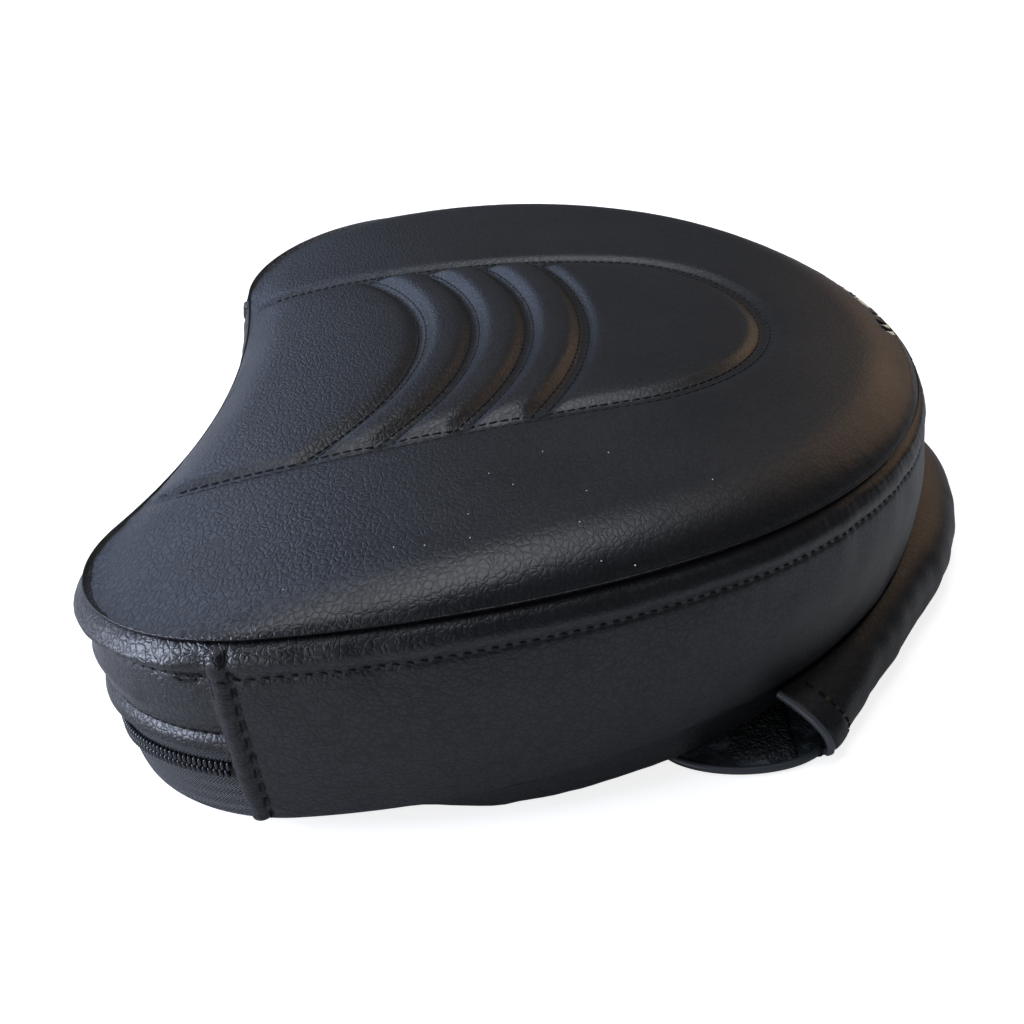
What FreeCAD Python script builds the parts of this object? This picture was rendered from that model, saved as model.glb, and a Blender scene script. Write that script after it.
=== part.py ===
import FreeCAD, Part
import math
import os
import Sketcher
from FreeCAD import Placement, Rotation, Vector

# Motorcycle driver backrest: a sewn vinyl cover with a zip end, over foam and a backing board.
# The pad lies on its back, front face up. Its own frame has X from the zip end to the dome end,
# Y across it, and Z out of its front face, with z = 0 at the top seam on the middle line.
# The whole pad is then tilted about Y, because its rear flap is folded under the dome end.
# Lengths are millimetres, angles degrees.
SIZES = [
    # outline, seen from the front
    ("pad_length", 223.0, "zip end lobes to dome tip"),
    ("half_width", 147.3, "middle line to the widest place of the side"),
    ("dome_radius", 139.0, "round end"),
    ("lobe_radius", 52.5, "two lobes beside the zip end"),
    ("side_radius", 205.0, "long side arcs between dome and lobes"),
    ("end_radius", 378.0, "hollow arc of the zip end"),
    # depth and front face
    ("wall_depth", 39.5, "top seam to back seam on the middle line"),
    ("seam_bow", 980.0, "radius of the top seam's rise towards both sides"),
    ("face_rise", 16.8, "front face above the seam at its peak"),
    ("face_peak", 118.0, "place of that peak along the pad"),
    ("face_bow", 700.0, "radius of the front face along the pad"),
    ("face_roll", 9.0, "rounding of the front face into the wall"),
    ("stock", 30.0, "spare height that the front face is cut from"),
    # cover
    ("skin", 2.0, "sewn vinyl with its seam allowance"),
    ("face_skin", 5.6, "front panel with the foam layer it is sewn to"),
    ("hem_lift", 1.0, "how far a folded overlap stands proud"),
    ("hem_width", 6.5, "folded overlap beside its fold"),
    ("near_overlap", 43.6, "place of the near overlap along the pad"),
    ("far_overlap", 84.0, "place of the far overlap across the pad"),
    # stitched lines of the front panel
    ("groove_half", 1.7, "half the pressed channel under a double row of stitches"),
    ("groove_depth", 1.0, "depth of that channel"),
    ("tongue_tip", 180.0, "round end of the tongue"),
    ("tongue_nose", 58.5, "radius of that round end"),
    ("tongue_side", 520.0, "radius of the tongue's long sides"),
    ("arc_count", 4, "curved ribs inside the tongue"),
    ("arc_first", 75.2, "place of the first arc on the middle line"),
    ("arc_pitch", 16.9, "spacing of the arcs"),
    ("arc_radius", 107.5, "radius of the first arc"),
    ("arc_growth", 8.6, "how much flatter each next arc is"),
    ("quilt", 3.0, "soft quilting layer under the tongue"),
    ("quilt_start", 24.0, "where that layer starts along the pad"),
    # zip
    ("zip_level", 33.0, "top seam to the middle of the zip"),
    ("strip_depth", 26.5, "top seam to the fold above the zip"),
    ("tape", 0.8, "woven zip tape"),
    ("tape_height", 11.0, "height of one tape"),
    ("zip_gap", 0.55, "half the gap between the two rows"),
    ("coil_radius", 0.85, "half the width of one coil row"),
    ("coil_proud", 0.8, "how far the coils stand out of the wall"),
    ("coil_start", 83.0, "far end of the coils across the pad"),
    ("coil_end", 43.2, "near end of the coils along the pad"),
    ("slider_place", 75.0, "middle of the parked slider across the pad"),
    ("slider_length", 11.0, "slider along the zip"),
    ("slider_height", 8.0, "slider across the zip"),
    ("slider_plate", 1.2, "slider wing thickness"),
    ("neck", 0.4, "post that joins the slider's wings"),
    ("neck_length", 1.5, "length of that post"),
    ("run", 0.4, "running clearance of the slider"),
    ("bridge_radius", 3.0, "outside of the slider's bridge"),
    ("bridge_width", 1.8, "width of the bridge"),
    ("pull_pin", 0.6, "radius of the pull tab's pin"),
    ("pull_length", 24.0, "pull tab from pin to tip"),
    ("pull_width", 7.0, "pull tab width"),
    ("pull_plate", 1.2, "pull tab thickness"),
    ("pull_corner", 3.2, "rounding of its corners"),
    # inside and back
    ("board", 5.0, "backing board thickness"),
    ("board_inset", 10.0, "backing board inside the outline"),
    ("nut_first", 30.0, "first pair of nuts along the pad"),
    ("nut_step", 40.0, "spacing of the nuts, along and across the pad"),
    ("nut_bore", 2.5, "thread bore of an M6 nut"),
    ("nut_barrel", 4.0, "barrel radius"),
    ("nut_flange", 9.0, "flange radius"),
    ("nut_plate", 1.2, "flange thickness"),
    ("bolt_hole", 5.0, "hole for a bolt in the back panel"),
    ("bolt_room", 10.0, "room for a bolt's end above its nut"),
    ("bulge_start", 76.0, "near end of the puffed part of the back"),
    ("bulge_foot", 98.0, "where it first rests on the ground"),
    ("bulge_flat", 105.0, "end of its flattened stretch"),
    ("bulge_radius", 334.0, "radius of its rise towards the dome"),
    ("bulge_inset", 5.0, "puffed part inside the outline"),
    # rear flap, which lies on the ground
    ("tilt", 5.6, "pad's slope, dome end up"),
    ("flap_radius", 156.0, "outside of the folded flap"),
    ("flap_skin", 1.6, "flap's vinyl"),
    ("flap_half", 126.0, "middle line to the flap's side edge"),
    ("flap_end", 154.0, "free edge of the folded flap along the pad"),
    ("flap_sweep", 54.0, "half the angle that the flap is sewn over"),
    ("flap_roll", 15.5, "rounding of its upper layer"),
    ("flap_slack", 0.2, "where its upper layer ends above the lower one"),
    ("flap_tuck", 0.5, "seam allowance of its upper layer under the dome"),
    ("strip_width", 17.0, "hook and loop strips"),
    ("strip_skin", 1.3, "thickness of these strips"),
    ("strip_length", 244.0, "hook strip across the flap"),
    ("loop_place", 172.0, "loop strip along the pad"),
    ("loop_length", 156.0, "loop strip across the pad"),
]

# Closer than this, two shapes are taken to touch.
TOUCHING = 0.01

doc = FreeCAD.newDocument("driver_backrest")
sheet = doc.addObject("Spreadsheet::Sheet", "sizes")
for row, (alias, number, remark) in enumerate(SIZES, start=1):
    sheet.set(f"A{row}", remark)
    sheet.set(f"B{row}", str(number))
    sheet.setAlias(f"B{row}", alias)
doc.recompute()
size = {alias: float(sheet.get(alias)) for alias, number, remark in SIZES}


def written(terms):
    """A sum of named sizes as an expression: 'skin + tape' gives 'sizes.skin + sizes.tape'."""
    return " ".join(word if word in "+-" else f"sizes.{word}" for word in terms.split())


def worked(terms):
    """The same sum as a number."""
    total, sign = 0.0, 1.0
    for word in terms.split():
        if word in "+-":
            sign = 1.0 if word == "+" else -1.0
        else:
            total += sign * size[word]
    return total


def plane_of(body, role):
    return next(item for item in body.Origin.OriginFeatures if item.Role == role)


def new_body(name):
    return doc.addObject("PartDesign::Body", name)


def new_sketch(body, name, role, offset=""):
    """A sketch on one of the body's origin planes, moved along its normal by a sum of sizes."""
    sketch = body.newObject("Sketcher::SketchObject", name)
    sketch.AttachmentSupport = [(plane_of(body, role), "")]
    sketch.MapMode = "FlatFace"
    if offset:
        sketch.setExpression("AttachmentOffset.Base.z", written(offset))
        doc.recompute()
    return sketch


def bound(sketch, name, constraint, expression):
    """Adds a dimension and ties it to the sheet."""
    index = sketch.addConstraint(constraint)
    sketch.renameConstraint(index, name)
    sketch.setExpression(f"Constraints.{name}", expression)


def pad_feature(body, sketch, length, reverse=False, symmetric=False):
    feature = body.newObject("PartDesign::Pad", sketch.Name + "_pad")
    feature.Profile = sketch
    feature.Reversed = reverse
    feature.SideType = "Symmetric" if symmetric else "One side"
    feature.setExpression("Length", length)
    doc.recompute()
    return feature


def pocket_feature(body, sketch, length):
    feature = body.newObject("PartDesign::Pocket", sketch.Name + "_pocket")
    feature.Profile = sketch
    feature.SideType = "Symmetric"
    feature.setExpression("Length", length)
    doc.recompute()
    return feature


def fillet_feature(body, base, edges, radius):
    feature = body.newObject("PartDesign::Fillet", base.Name + "_roll")
    feature.Base = (base, edges)
    feature.setExpression("Radius", radius)
    doc.recompute()
    return feature


def chamfer_feature(body, base, edges, length):
    feature = body.newObject("PartDesign::Chamfer", base.Name + "_bevel")
    feature.Base = (base, edges)
    feature.setExpression("Size", length)
    doc.recompute()
    return feature


def rolled_rim(body, base, edges, radius):
    """Rounds a square rim in three bevels that touch an arc of that radius."""
    before = base.Shape.Faces
    bevel = chamfer_feature(body, base, edges, f"({radius}) * (1 - tan(22.5))")
    faces = bevel.Shape.Faces

    def is_new(face):
        first_u, last_u, first_v, last_v = face.ParameterRange
        middle = Part.Vertex(face.Surface.value((first_u + last_u) / 2, (first_v + last_v) / 2))
        return all(middle.distToShape(old)[0] > TOUCHING for old in before)

    count = {}
    for face in filter(is_new, faces):
        for edge in face.Edges:
            number = next(i for i, other in enumerate(bevel.Shape.Edges, start=1) if other.isSame(edge))
            count[number] = count.get(number, 0) + 1
    rim = [f"Edge{number}" for number in sorted(count) if count[number] == 1]
    return chamfer_feature(body, bevel, rim, f"({radius}) * (tan(22.5) - tan(11.25))")


def edge_names(shape, chosen):
    return [f"Edge{i}" for i, edge in enumerate(shape.Edges, start=1) if chosen(edge.BoundBox)]


# Outline

def lobe_height():
    return size["half_width"] - size["lobe_radius"]


def end_centre():
    """Centre of the hollow zip end, which touches both lobes."""
    reach = size["end_radius"] + size["lobe_radius"]
    return Vector(size["lobe_radius"] - math.sqrt(reach**2 - lobe_height()**2), 0, 0)


def side_centre():
    """Centre of the upper side arc, which holds the dome's and the lobe's circles inside it."""
    dome = Vector(size["pad_length"] - size["dome_radius"], 0, 0)
    lobe = Vector(size["lobe_radius"], lobe_height(), 0)
    from_dome = size["side_radius"] - size["dome_radius"]
    from_lobe = size["side_radius"] - size["lobe_radius"]
    apart = (lobe - dome).Length
    along = (from_dome**2 - from_lobe**2 + apart**2) / (2 * apart)
    across = math.sqrt(from_dome**2 - along**2)
    forward = (lobe - dome).normalize()
    left = Vector(-forward.y, forward.x, 0)
    return dome + forward * along + left * across


def arc_between(centre, radius, first, last):
    """An arc about centre, counter-clockwise between the directions towards two points."""
    start = math.atan2(first.y - centre.y, first.x - centre.x)
    end = math.atan2(last.y - centre.y, last.x - centre.x)
    if end < start:
        end += 2 * math.pi
    return Part.ArcOfCircle(Part.Circle(centre, Vector(0, 0, 1), radius), start, end)


def add_outline(sketch, inset):
    """Draws the pad's outline in six touching arcs, moved inwards by a sum of sizes."""
    away = worked(inset)
    dome = Vector(size["pad_length"] - size["dome_radius"], 0, 0)
    lobe = Vector(size["lobe_radius"], lobe_height(), 0)
    side, end = side_centre(), end_centre()
    dome_touch = dome + (dome - side).normalize() * size["dome_radius"]
    lobe_touch = lobe + (lobe - side).normalize() * size["lobe_radius"]
    end_touch = lobe + (end - lobe).normalize() * size["lobe_radius"]

    def low(point):
        return Vector(point.x, -point.y, 0)

    arcs = [
        arc_between(dome, size["dome_radius"] - away, low(dome_touch), dome_touch),
        arc_between(side, size["side_radius"] - away, dome_touch, lobe_touch),
        arc_between(lobe, size["lobe_radius"] - away, lobe_touch, end_touch),
        arc_between(end, size["end_radius"] + away, low(end_touch), end_touch),
        arc_between(low(lobe), size["lobe_radius"] - away, low(end_touch), low(lobe_touch)),
        arc_between(low(side), size["side_radius"] - away, low(lobe_touch), low(dome_touch)),
    ]
    g = [sketch.addGeometry(arc, False) for arc in arcs]
    dome_arc, side_up, lobe_up, end_arc, lobe_low, side_low = g
    joints = [(dome_arc, 2, side_up, 1), (side_up, 2, lobe_up, 1), (lobe_up, 2, end_arc, 2),
              (end_arc, 1, lobe_low, 1), (lobe_low, 2, side_low, 1), (side_low, 2, dome_arc, 1)]
    for one, one_end, other, other_end in joints:
        sketch.addConstraint(Sketcher.Constraint("Tangent", one, one_end, other, other_end))
    sketch.addConstraint(Sketcher.Constraint("PointOnObject", dome_arc, 3, -1))
    sketch.addConstraint(Sketcher.Constraint("Symmetric", lobe_up, 3, lobe_low, 3, -1))
    sketch.addConstraint(Sketcher.Constraint("Equal", lobe_up, lobe_low))
    sketch.addConstraint(Sketcher.Constraint("Equal", side_up, side_low))
    less = f" - ({written(inset)})" if inset else ""
    more = f" + ({written(inset)})" if inset else ""
    bound(sketch, "dome_size", Sketcher.Constraint("Radius", dome_arc, arcs[0].Radius),
          "sizes.dome_radius" + less)
    bound(sketch, "side_size", Sketcher.Constraint("Radius", side_up, arcs[1].Radius),
          "sizes.side_radius" + less)
    bound(sketch, "lobe_size", Sketcher.Constraint("Radius", lobe_up, arcs[2].Radius),
          "sizes.lobe_radius" + less)
    bound(sketch, "end_size", Sketcher.Constraint("Radius", end_arc, arcs[3].Radius),
          "sizes.end_radius" + more)
    bound(sketch, "dome_place", Sketcher.Constraint("DistanceX", dome_arc, 3, dome.x),
          "sizes.pad_length - sizes.dome_radius")
    bound(sketch, "lobe_place", Sketcher.Constraint("DistanceX", lobe_up, 3, lobe.x),
          "sizes.lobe_radius")
    bound(sketch, "lobe_height", Sketcher.Constraint("DistanceY", lobe_up, 3, lobe.y),
          "sizes.half_width - sizes.lobe_radius")


# Volumes that the pieces are cut from

def front_crown(body, name, drop):
    """Cuts the front face, crowned along the pad."""
    sketch = new_sketch(body, name + "_crown", "XZ_Plane")
    radius = size["face_bow"] - worked(drop)
    top = size["face_rise"] + 2 * size["stock"]
    left, right = -size["stock"], size["pad_length"] + size["stock"]
    centre = Vector(size["face_peak"], size["face_rise"] - size["face_bow"], 0)

    def on_crown(x):
        return Vector(x, centre.y + math.sqrt(radius**2 - (x - centre.x)**2), 0)

    a, b = on_crown(left), on_crown(right)
    c, d = Vector(right, top, 0), Vector(left, top, 0)
    arc = sketch.addGeometry(arc_between(centre, radius, b, a), False)
    wall_b = sketch.addGeometry(Part.LineSegment(b, c), False)
    roof = sketch.addGeometry(Part.LineSegment(c, d), False)
    wall_a = sketch.addGeometry(Part.LineSegment(d, a), False)
    for one, other in ((wall_b, roof), (roof, wall_a)):
        sketch.addConstraint(Sketcher.Constraint("Coincident", one, 2, other, 1))
    sketch.addConstraint(Sketcher.Constraint("Coincident", arc, 1, wall_b, 1))
    sketch.addConstraint(Sketcher.Constraint("Coincident", arc, 2, wall_a, 2))
    for line in (wall_a, wall_b):
        sketch.addConstraint(Sketcher.Constraint("Vertical", line))
    sketch.addConstraint(Sketcher.Constraint("Horizontal", roof))
    less = f" - ({written(drop)})" if drop else ""
    bound(sketch, "bow", Sketcher.Constraint("Radius", arc, radius), "sizes.face_bow" + less)
    bound(sketch, "peak", Sketcher.Constraint("DistanceX", arc, 3, centre.x), "sizes.face_peak")
    bound(sketch, "sink", Sketcher.Constraint("DistanceY", arc, 3, -1, 1, -centre.y),
          "sizes.face_bow - sizes.face_rise")
    bound(sketch, "left", Sketcher.Constraint("DistanceX", wall_a, 1, -1, 1, -left), "sizes.stock")
    bound(sketch, "right", Sketcher.Constraint("DistanceX", wall_b, 1, right),
          "sizes.pad_length + sizes.stock")
    bound(sketch, "roof", Sketcher.Constraint("DistanceY", roof, 1, top),
          "sizes.face_rise + 2 * sizes.stock")
    doc.recompute()
    return pocket_feature(body, sketch, "4 * sizes.half_width")


def cover_volume(name, inset, drop, roll=""):
    """The pad's whole volume down to its back panel, moved inwards by inset, its face lowered by drop."""
    body = new_body(name)
    foot = "wall_depth - skin"
    sketch = body.newObject("Sketcher::SketchObject", name + "_outline")
    sketch.AttachmentSupport = [(plane_of(body, "XY_Plane"), "")]
    sketch.MapMode = "FlatFace"
    sketch.setExpression("AttachmentOffset.Base.z", f"-({written(foot)})")
    add_outline(sketch, inset)
    doc.recompute()
    pad_feature(body, sketch, f"{written(foot)} + sizes.face_rise + sizes.stock")
    crown = front_crown(body, name, drop)
    if roll:
        upper = edge_names(crown.Shape, lambda box: box.ZMin > 0 and box.DiagonalLength > size["skin"])
        rolled_rim(body, crown, upper, written(roll))
    return body


def prism(name, inset, top, depth):
    """The outline as a flat plate, from z = -top downwards."""
    body = new_body(name)
    sketch = body.newObject("Sketcher::SketchObject", name + "_outline")
    sketch.AttachmentSupport = [(plane_of(body, "XY_Plane"), "")]
    sketch.MapMode = "FlatFace"
    sketch.setExpression("AttachmentOffset.Base.z", f"-({written(top)})")
    add_outline(sketch, inset)
    doc.recompute()
    pad_feature(body, sketch, written(depth), reverse=True)
    return body


def box(name, low, high):
    """A plain block between two corners, for cutting."""
    block = doc.addObject("Part::Box", name)
    block.Length = high[0] - low[0]
    block.Width = high[1] - low[1]
    block.Height = high[2] - low[2]
    block.Placement.Base = Vector(*low)
    return block


def boolean(kind, name, base, tool):
    result = doc.addObject("Part::" + kind, name)
    result.Base = base
    result.Tool = tool
    doc.recompute()
    return result


def gathered(kind, name, shapes):
    result = doc.addObject("Part::" + kind, name)
    result.Shapes = shapes
    doc.recompute()
    return result


pad_volume = cover_volume("pad_volume", "", "", "face_roll")
hem_volume = cover_volume("hem_volume", "- hem_lift", "- hem_lift", "face_roll + hem_lift")
groove_floor = cover_volume("groove_floor", "groove_depth", "groove_depth")
tape_volume = cover_volume("tape_volume", "skin - tape", "face_skin")
core_volume = cover_volume("core_volume", "skin", "face_skin")
quilt_floor = cover_volume("quilt_floor", "skin", "face_skin + quilt")

# Above the bowed top seam lies the front panel, below it the wall.
above_seam = doc.addObject("Part::Cylinder", "above_seam")
above_seam.setExpression("Radius", "sizes.seam_bow")
above_seam.setExpression("Height", "sizes.pad_length + 2 * sizes.stock")
above_seam.setExpression("Placement.Base.x", "-sizes.stock")
above_seam.setExpression("Placement.Base.z", "sizes.seam_bow")
above_seam.Placement.Rotation = Rotation(Vector(0, 1, 0), 90)
doc.recompute()

cover_shell = boolean("Cut", "cover_shell", pad_volume, core_volume)
front_shell = boolean("Common", "front_shell", cover_shell, above_seam)
wall_shell = boolean("Cut", "wall_shell", cover_shell, above_seam)
hem_shell_all = boolean("Cut", "hem_shell_all", hem_volume, pad_volume)
hem_shell = boolean("Cut", "hem_shell", hem_shell_all, above_seam)


# Front panel with its stitched tongue and arcs

def tongue_plate(name, outset):
    """The tongue as a tall plate, its edge moved outwards by a sum of sizes."""
    body = new_body(name)
    sketch = new_sketch(body, name + "_outline", "XY_Plane", "")
    sketch.setExpression("AttachmentOffset.Base.z", "-sizes.stock")
    away = worked(outset)
    nose = Vector(size["tongue_tip"] - size["tongue_nose"], 0, 0)
    open_end = -size["stock"]
    # the side arcs are flat, parallel to the middle line, at the zip end
    side_x = size["end_radius"] + end_centre().x
    reach = size["tongue_side"] - size["tongue_nose"]
    side = Vector(side_x, -math.sqrt(reach**2 - (nose.x - side_x)**2), 0)
    touch = nose + (nose - side).normalize() * size["tongue_nose"]
    flat = Vector(side_x, side.y + size["tongue_side"], 0)

    def low(point):
        return Vector(point.x, -point.y, 0)

    lift = Vector(0, away, 0)
    edge = Vector(open_end, (flat + lift).y, 0)
    parts = [
        arc_between(nose, size["tongue_nose"] + away, low(touch), touch),
        arc_between(side, size["tongue_side"] + away, touch, flat),
        Part.LineSegment(flat + lift, edge),
        Part.LineSegment(edge, low(edge)),
        Part.LineSegment(low(edge), low(flat + lift)),
        arc_between(low(side), size["tongue_side"] + away, low(flat), low(touch)),
    ]
    g = [sketch.addGeometry(part, False) for part in parts]
    for one, one_end, other, other_end in ((g[0], 2, g[1], 1), (g[1], 2, g[2], 1), (g[4], 2, g[5], 1),
                                           (g[5], 2, g[0], 1)):
        sketch.addConstraint(Sketcher.Constraint("Tangent", one, one_end, other, other_end))
    for one, other in ((g[2], g[3]), (g[3], g[4])):
        sketch.addConstraint(Sketcher.Constraint("Coincident", one, 2, other, 1))
    for line in (g[2], g[4]):
        sketch.addConstraint(Sketcher.Constraint("Horizontal", line))
    sketch.addConstraint(Sketcher.Constraint("Vertical", g[3]))
    sketch.addConstraint(Sketcher.Constraint("PointOnObject", g[0], 3, -1))
    sketch.addConstraint(Sketcher.Constraint("Equal", g[1], g[5]))
    sketch.addConstraint(Sketcher.Constraint("Vertical", g[2], 1, g[4], 2))
    more = f" + ({written(outset)})" if outset else ""
    bound(sketch, "nose_size", Sketcher.Constraint("Radius", g[0], parts[0].Radius),
          "sizes.tongue_nose" + more)
    bound(sketch, "side_size", Sketcher.Constraint("Radius", g[1], parts[1].Radius),
          "sizes.tongue_side" + more)
    bound(sketch, "nose_place", Sketcher.Constraint("DistanceX", g[0], 3, nose.x),
          "sizes.tongue_tip - sizes.tongue_nose")
    bound(sketch, "flat_place", Sketcher.Constraint("DistanceX", g[2], 1, side_x),
          "sizes.lobe_radius + sizes.end_radius - sqrt((sizes.end_radius + sizes.lobe_radius)^2"
          " - (sizes.half_width - sizes.lobe_radius)^2)")
    bound(sketch, "open_end", Sketcher.Constraint("DistanceX", g[2], 2, -1, 1, -open_end), "sizes.stock")
    doc.recompute()
    pad_feature(body, sketch, "4 * sizes.stock")
    return body


# The stitched lines are channels: a line's edges lie half a channel to each side of it.
tongue_outer = tongue_plate("tongue_outer", "groove_half")
tongue_inner = tongue_plate("tongue_inner", "- groove_half")
tongue_ring = boolean("Cut", "tongue_ring", tongue_outer, tongue_inner)

channels = [tongue_ring]
for number in range(int(size["arc_count"])):
    rings = []
    for name, sign in (("outside", "+"), ("inside", "-")):
        disc = doc.addObject("Part::Cylinder", f"arc_{number}_{name}")
        disc.setExpression("Radius", f"sizes.arc_radius + {number} * sizes.arc_growth"
                           f" {sign} sizes.groove_half")
        disc.setExpression("Placement.Base.x", f"sizes.arc_first + {number} * sizes.arc_pitch"
                           f" - sizes.arc_radius - {number} * sizes.arc_growth")
        disc.setExpression("Placement.Base.z", "-sizes.stock")
        disc.setExpression("Height", "4 * sizes.stock")
        rings.append(disc)
    doc.recompute()
    ring = boolean("Cut", f"arc_{number}_ring", rings[0], rings[1])
    channels.append(boolean("Common", f"arc_{number}_rib", ring, tongue_inner))
all_channels = gathered("MultiFuse", "all_channels", channels)
cut_channels = boolean("Cut", "cut_channels", all_channels, groove_floor)
front_cut = boolean("Cut", "front_cut", front_shell, cut_channels)

# Soft quilting layer under the tongue, let into the foam
quilt_slab = boolean("Cut", "quilt_slab", core_volume, quilt_floor)
quilt_tongue = boolean("Common", "quilt_tongue", quilt_slab, tongue_inner)
quilt_zone = box("quilt_zone", (size["quilt_start"], -size["half_width"], -size["stock"]),
                 (size["pad_length"], size["half_width"], size["stock"]))
quilt_cut = boolean("Common", "quilt_cut", quilt_tongue, quilt_zone)

# Wall: a band round the sides and the dome, and the zip strip round the hollow end
wide = size["pad_length"] + 4 * size["stock"]
deep = size["wall_depth"] + size["stock"]
zip_zone = box("zip_zone", (-size["stock"], -wide, -deep),
               (size["near_overlap"], size["far_overlap"], deep))
zip_wall = boolean("Common", "zip_wall", wall_shell, zip_zone)
plain_band = boolean("Cut", "plain_band", wall_shell, zip_zone)
near_zone = box("near_zone", (size["near_overlap"], -wide, -deep),
                (size["near_overlap"] + size["hem_width"], 0, deep))
far_zone = box("far_zone", (-size["stock"], size["far_overlap"], -deep),
               (size["near_overlap"], size["far_overlap"] + size["hem_width"], deep))
near_hem = boolean("Common", "near_hem", hem_shell, near_zone)
far_hem = boolean("Common", "far_hem", hem_shell, far_zone)
band_cut = gathered("MultiFuse", "band_cut", [plain_band, near_hem, far_hem])

# Zip strip and tapes
tape_shell = boolean("Cut", "tape_shell", tape_volume, core_volume)
tape_zone = boolean("Common", "tape_zone", tape_shell, zip_zone)
upper_edge = -size["zip_level"] + size["zip_gap"]
lower_edge = -size["zip_level"] - size["zip_gap"]
upper_slab = box("upper_slab", (-size["stock"], -wide, upper_edge),
                 (wide, wide, upper_edge + size["tape_height"]))
lower_slab = box("lower_slab", (-size["stock"], -wide, -deep), (wide, wide, lower_edge))
upper_tape = boolean("Common", "upper_tape", tape_zone, upper_slab)
lower_tape = boolean("Common", "lower_tape", tape_zone, lower_slab)
strip_slab = box("strip_slab", (-size["stock"], -wide, -size["strip_depth"]), (wide, wide, deep))
strip_wall = boolean("Common", "strip_wall", zip_wall, strip_slab)
strip_cut = boolean("Cut", "strip_cut", strip_wall, upper_tape)


def rectangle(sketch, left, right, bottom, top):
    """A rectangle whose four places are expressions with their numbers."""
    corners = [Vector(left[1], bottom[1], 0), Vector(right[1], bottom[1], 0), Vector(right[1], top[1], 0),
               Vector(left[1], top[1], 0)]
    g = [sketch.addGeometry(Part.LineSegment(corners[i], corners[(i + 1) % 4]), False) for i in range(4)]
    for i in range(4):
        sketch.addConstraint(Sketcher.Constraint("Coincident", g[i], 2, g[(i + 1) % 4], 1))
    for line, kind in zip(g, ("Horizontal", "Vertical", "Horizontal", "Vertical")):
        sketch.addConstraint(Sketcher.Constraint(kind, line))
    for name, kind, point, place in (("left", "DistanceX", 1, left), ("bottom", "DistanceY", 1, bottom)):
        bound(sketch, f"{name}_{g[0]}", Sketcher.Constraint(kind, g[0], point, place[1]), place[0])
    for name, kind, point, place in (("right", "DistanceX", 1, right), ("top", "DistanceY", 1, top)):
        bound(sketch, f"{name}_{g[0]}", Sketcher.Constraint(kind, g[2], point, place[1]), place[0])


ruler = doc.addObject("App::FeaturePython", "ruler")
ruler.addProperty("App::PropertyFloat", "reading")


def worked_out(expression):
    """The number that an expression of sizes gives."""
    ruler.setExpression("reading", expression)
    ruler.recompute()
    return ruler.reading


def revolve_axis(sketch, middle):
    """An upright construction line under the middle line, at a place along the pad."""
    place = worked_out(middle)
    axis = sketch.addGeometry(Part.LineSegment(Vector(place, -size["stock"], 0), Vector(place, 0, 0)), True)
    sketch.addConstraint(Sketcher.Constraint("Vertical", axis))
    sketch.addConstraint(Sketcher.Constraint("PointOnObject", axis, 2, -1))
    bound(sketch, "axis_length", Sketcher.Constraint("DistanceY", axis, 1, axis, 2, size["stock"]),
          "sizes.stock")
    bound(sketch, "axis_place", Sketcher.Constraint("DistanceX", axis, 1, place), middle)


def coil(name, side):
    """One coil row: a plain strip that follows the hollow end and the near lobe."""
    body = new_body(name)
    inset = "sizes.coil_radius - sizes.coil_proud"
    level = f"{side} * (sizes.zip_gap + sizes.coil_radius) - sizes.zip_level"
    touch = "asin((sizes.half_width - sizes.lobe_radius) / (sizes.end_radius + sizes.lobe_radius))"
    hollow = ("sizes.lobe_radius - sqrt((sizes.end_radius + sizes.lobe_radius)^2"
              " - (sizes.half_width - sizes.lobe_radius)^2)")
    spans = [
        # about the hollow end, from the far overlap to the near lobe
        ("end", "", hollow, f"{hollow} + sizes.end_radius + {inset}",
         "asin(sizes.coil_start / sizes.end_radius)", touch),
        # about the near lobe, from the hollow end to the near overlap
        ("lobe", "half_width - lobe_radius", "sizes.lobe_radius", inset,
         "acos((sizes.lobe_radius - sizes.coil_end) / sizes.lobe_radius)", touch),
    ]
    for label, offset, centre, place, first, second in spans:
        sketch = new_sketch(body, f"{name}_{label}", "XZ_Plane", offset)
        revolve_axis(sketch, centre)
        edges = [f"{place} - sizes.coil_radius", f"{place} + sizes.coil_radius",
                 f"{level} - sizes.coil_radius", f"{level} + sizes.coil_radius"]
        rectangle(sketch, *[(text, worked_out(text)) for text in edges])
        doc.recompute()
        bend = body.newObject("PartDesign::Revolution", f"{name}_{label}_bend")
        bend.Profile = sketch
        bend.ReferenceAxis = (sketch, ["Axis0"])
        bend.Type = "TwoAngles"
        bend.setExpression("Angle", first)
        bend.setExpression("Angle2", second)
        doc.recompute()
    return body


zip_coil_upper = coil("zip_coil_upper", 1)
zip_coil_lower = coil("zip_coil_lower", -1)


# Slider and pull tab, in a frame of their own: X along the zip, Y out of the wall, Z across the zip

def block(body, name, left, right, bottom, top, near, far):
    """A block from six expressions: X range, Z range, then the Y range that it is padded over."""
    sketch = new_sketch(body, name, "XZ_Plane")
    sketch.setExpression("AttachmentOffset.Base.z", f"-({near})")
    rectangle(sketch, *[(text, worked_out(text)) for text in (left, right, bottom, top)])
    doc.recompute()
    return pad_feature(body, sketch, f"({far}) - ({near})", reverse=True)


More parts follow.
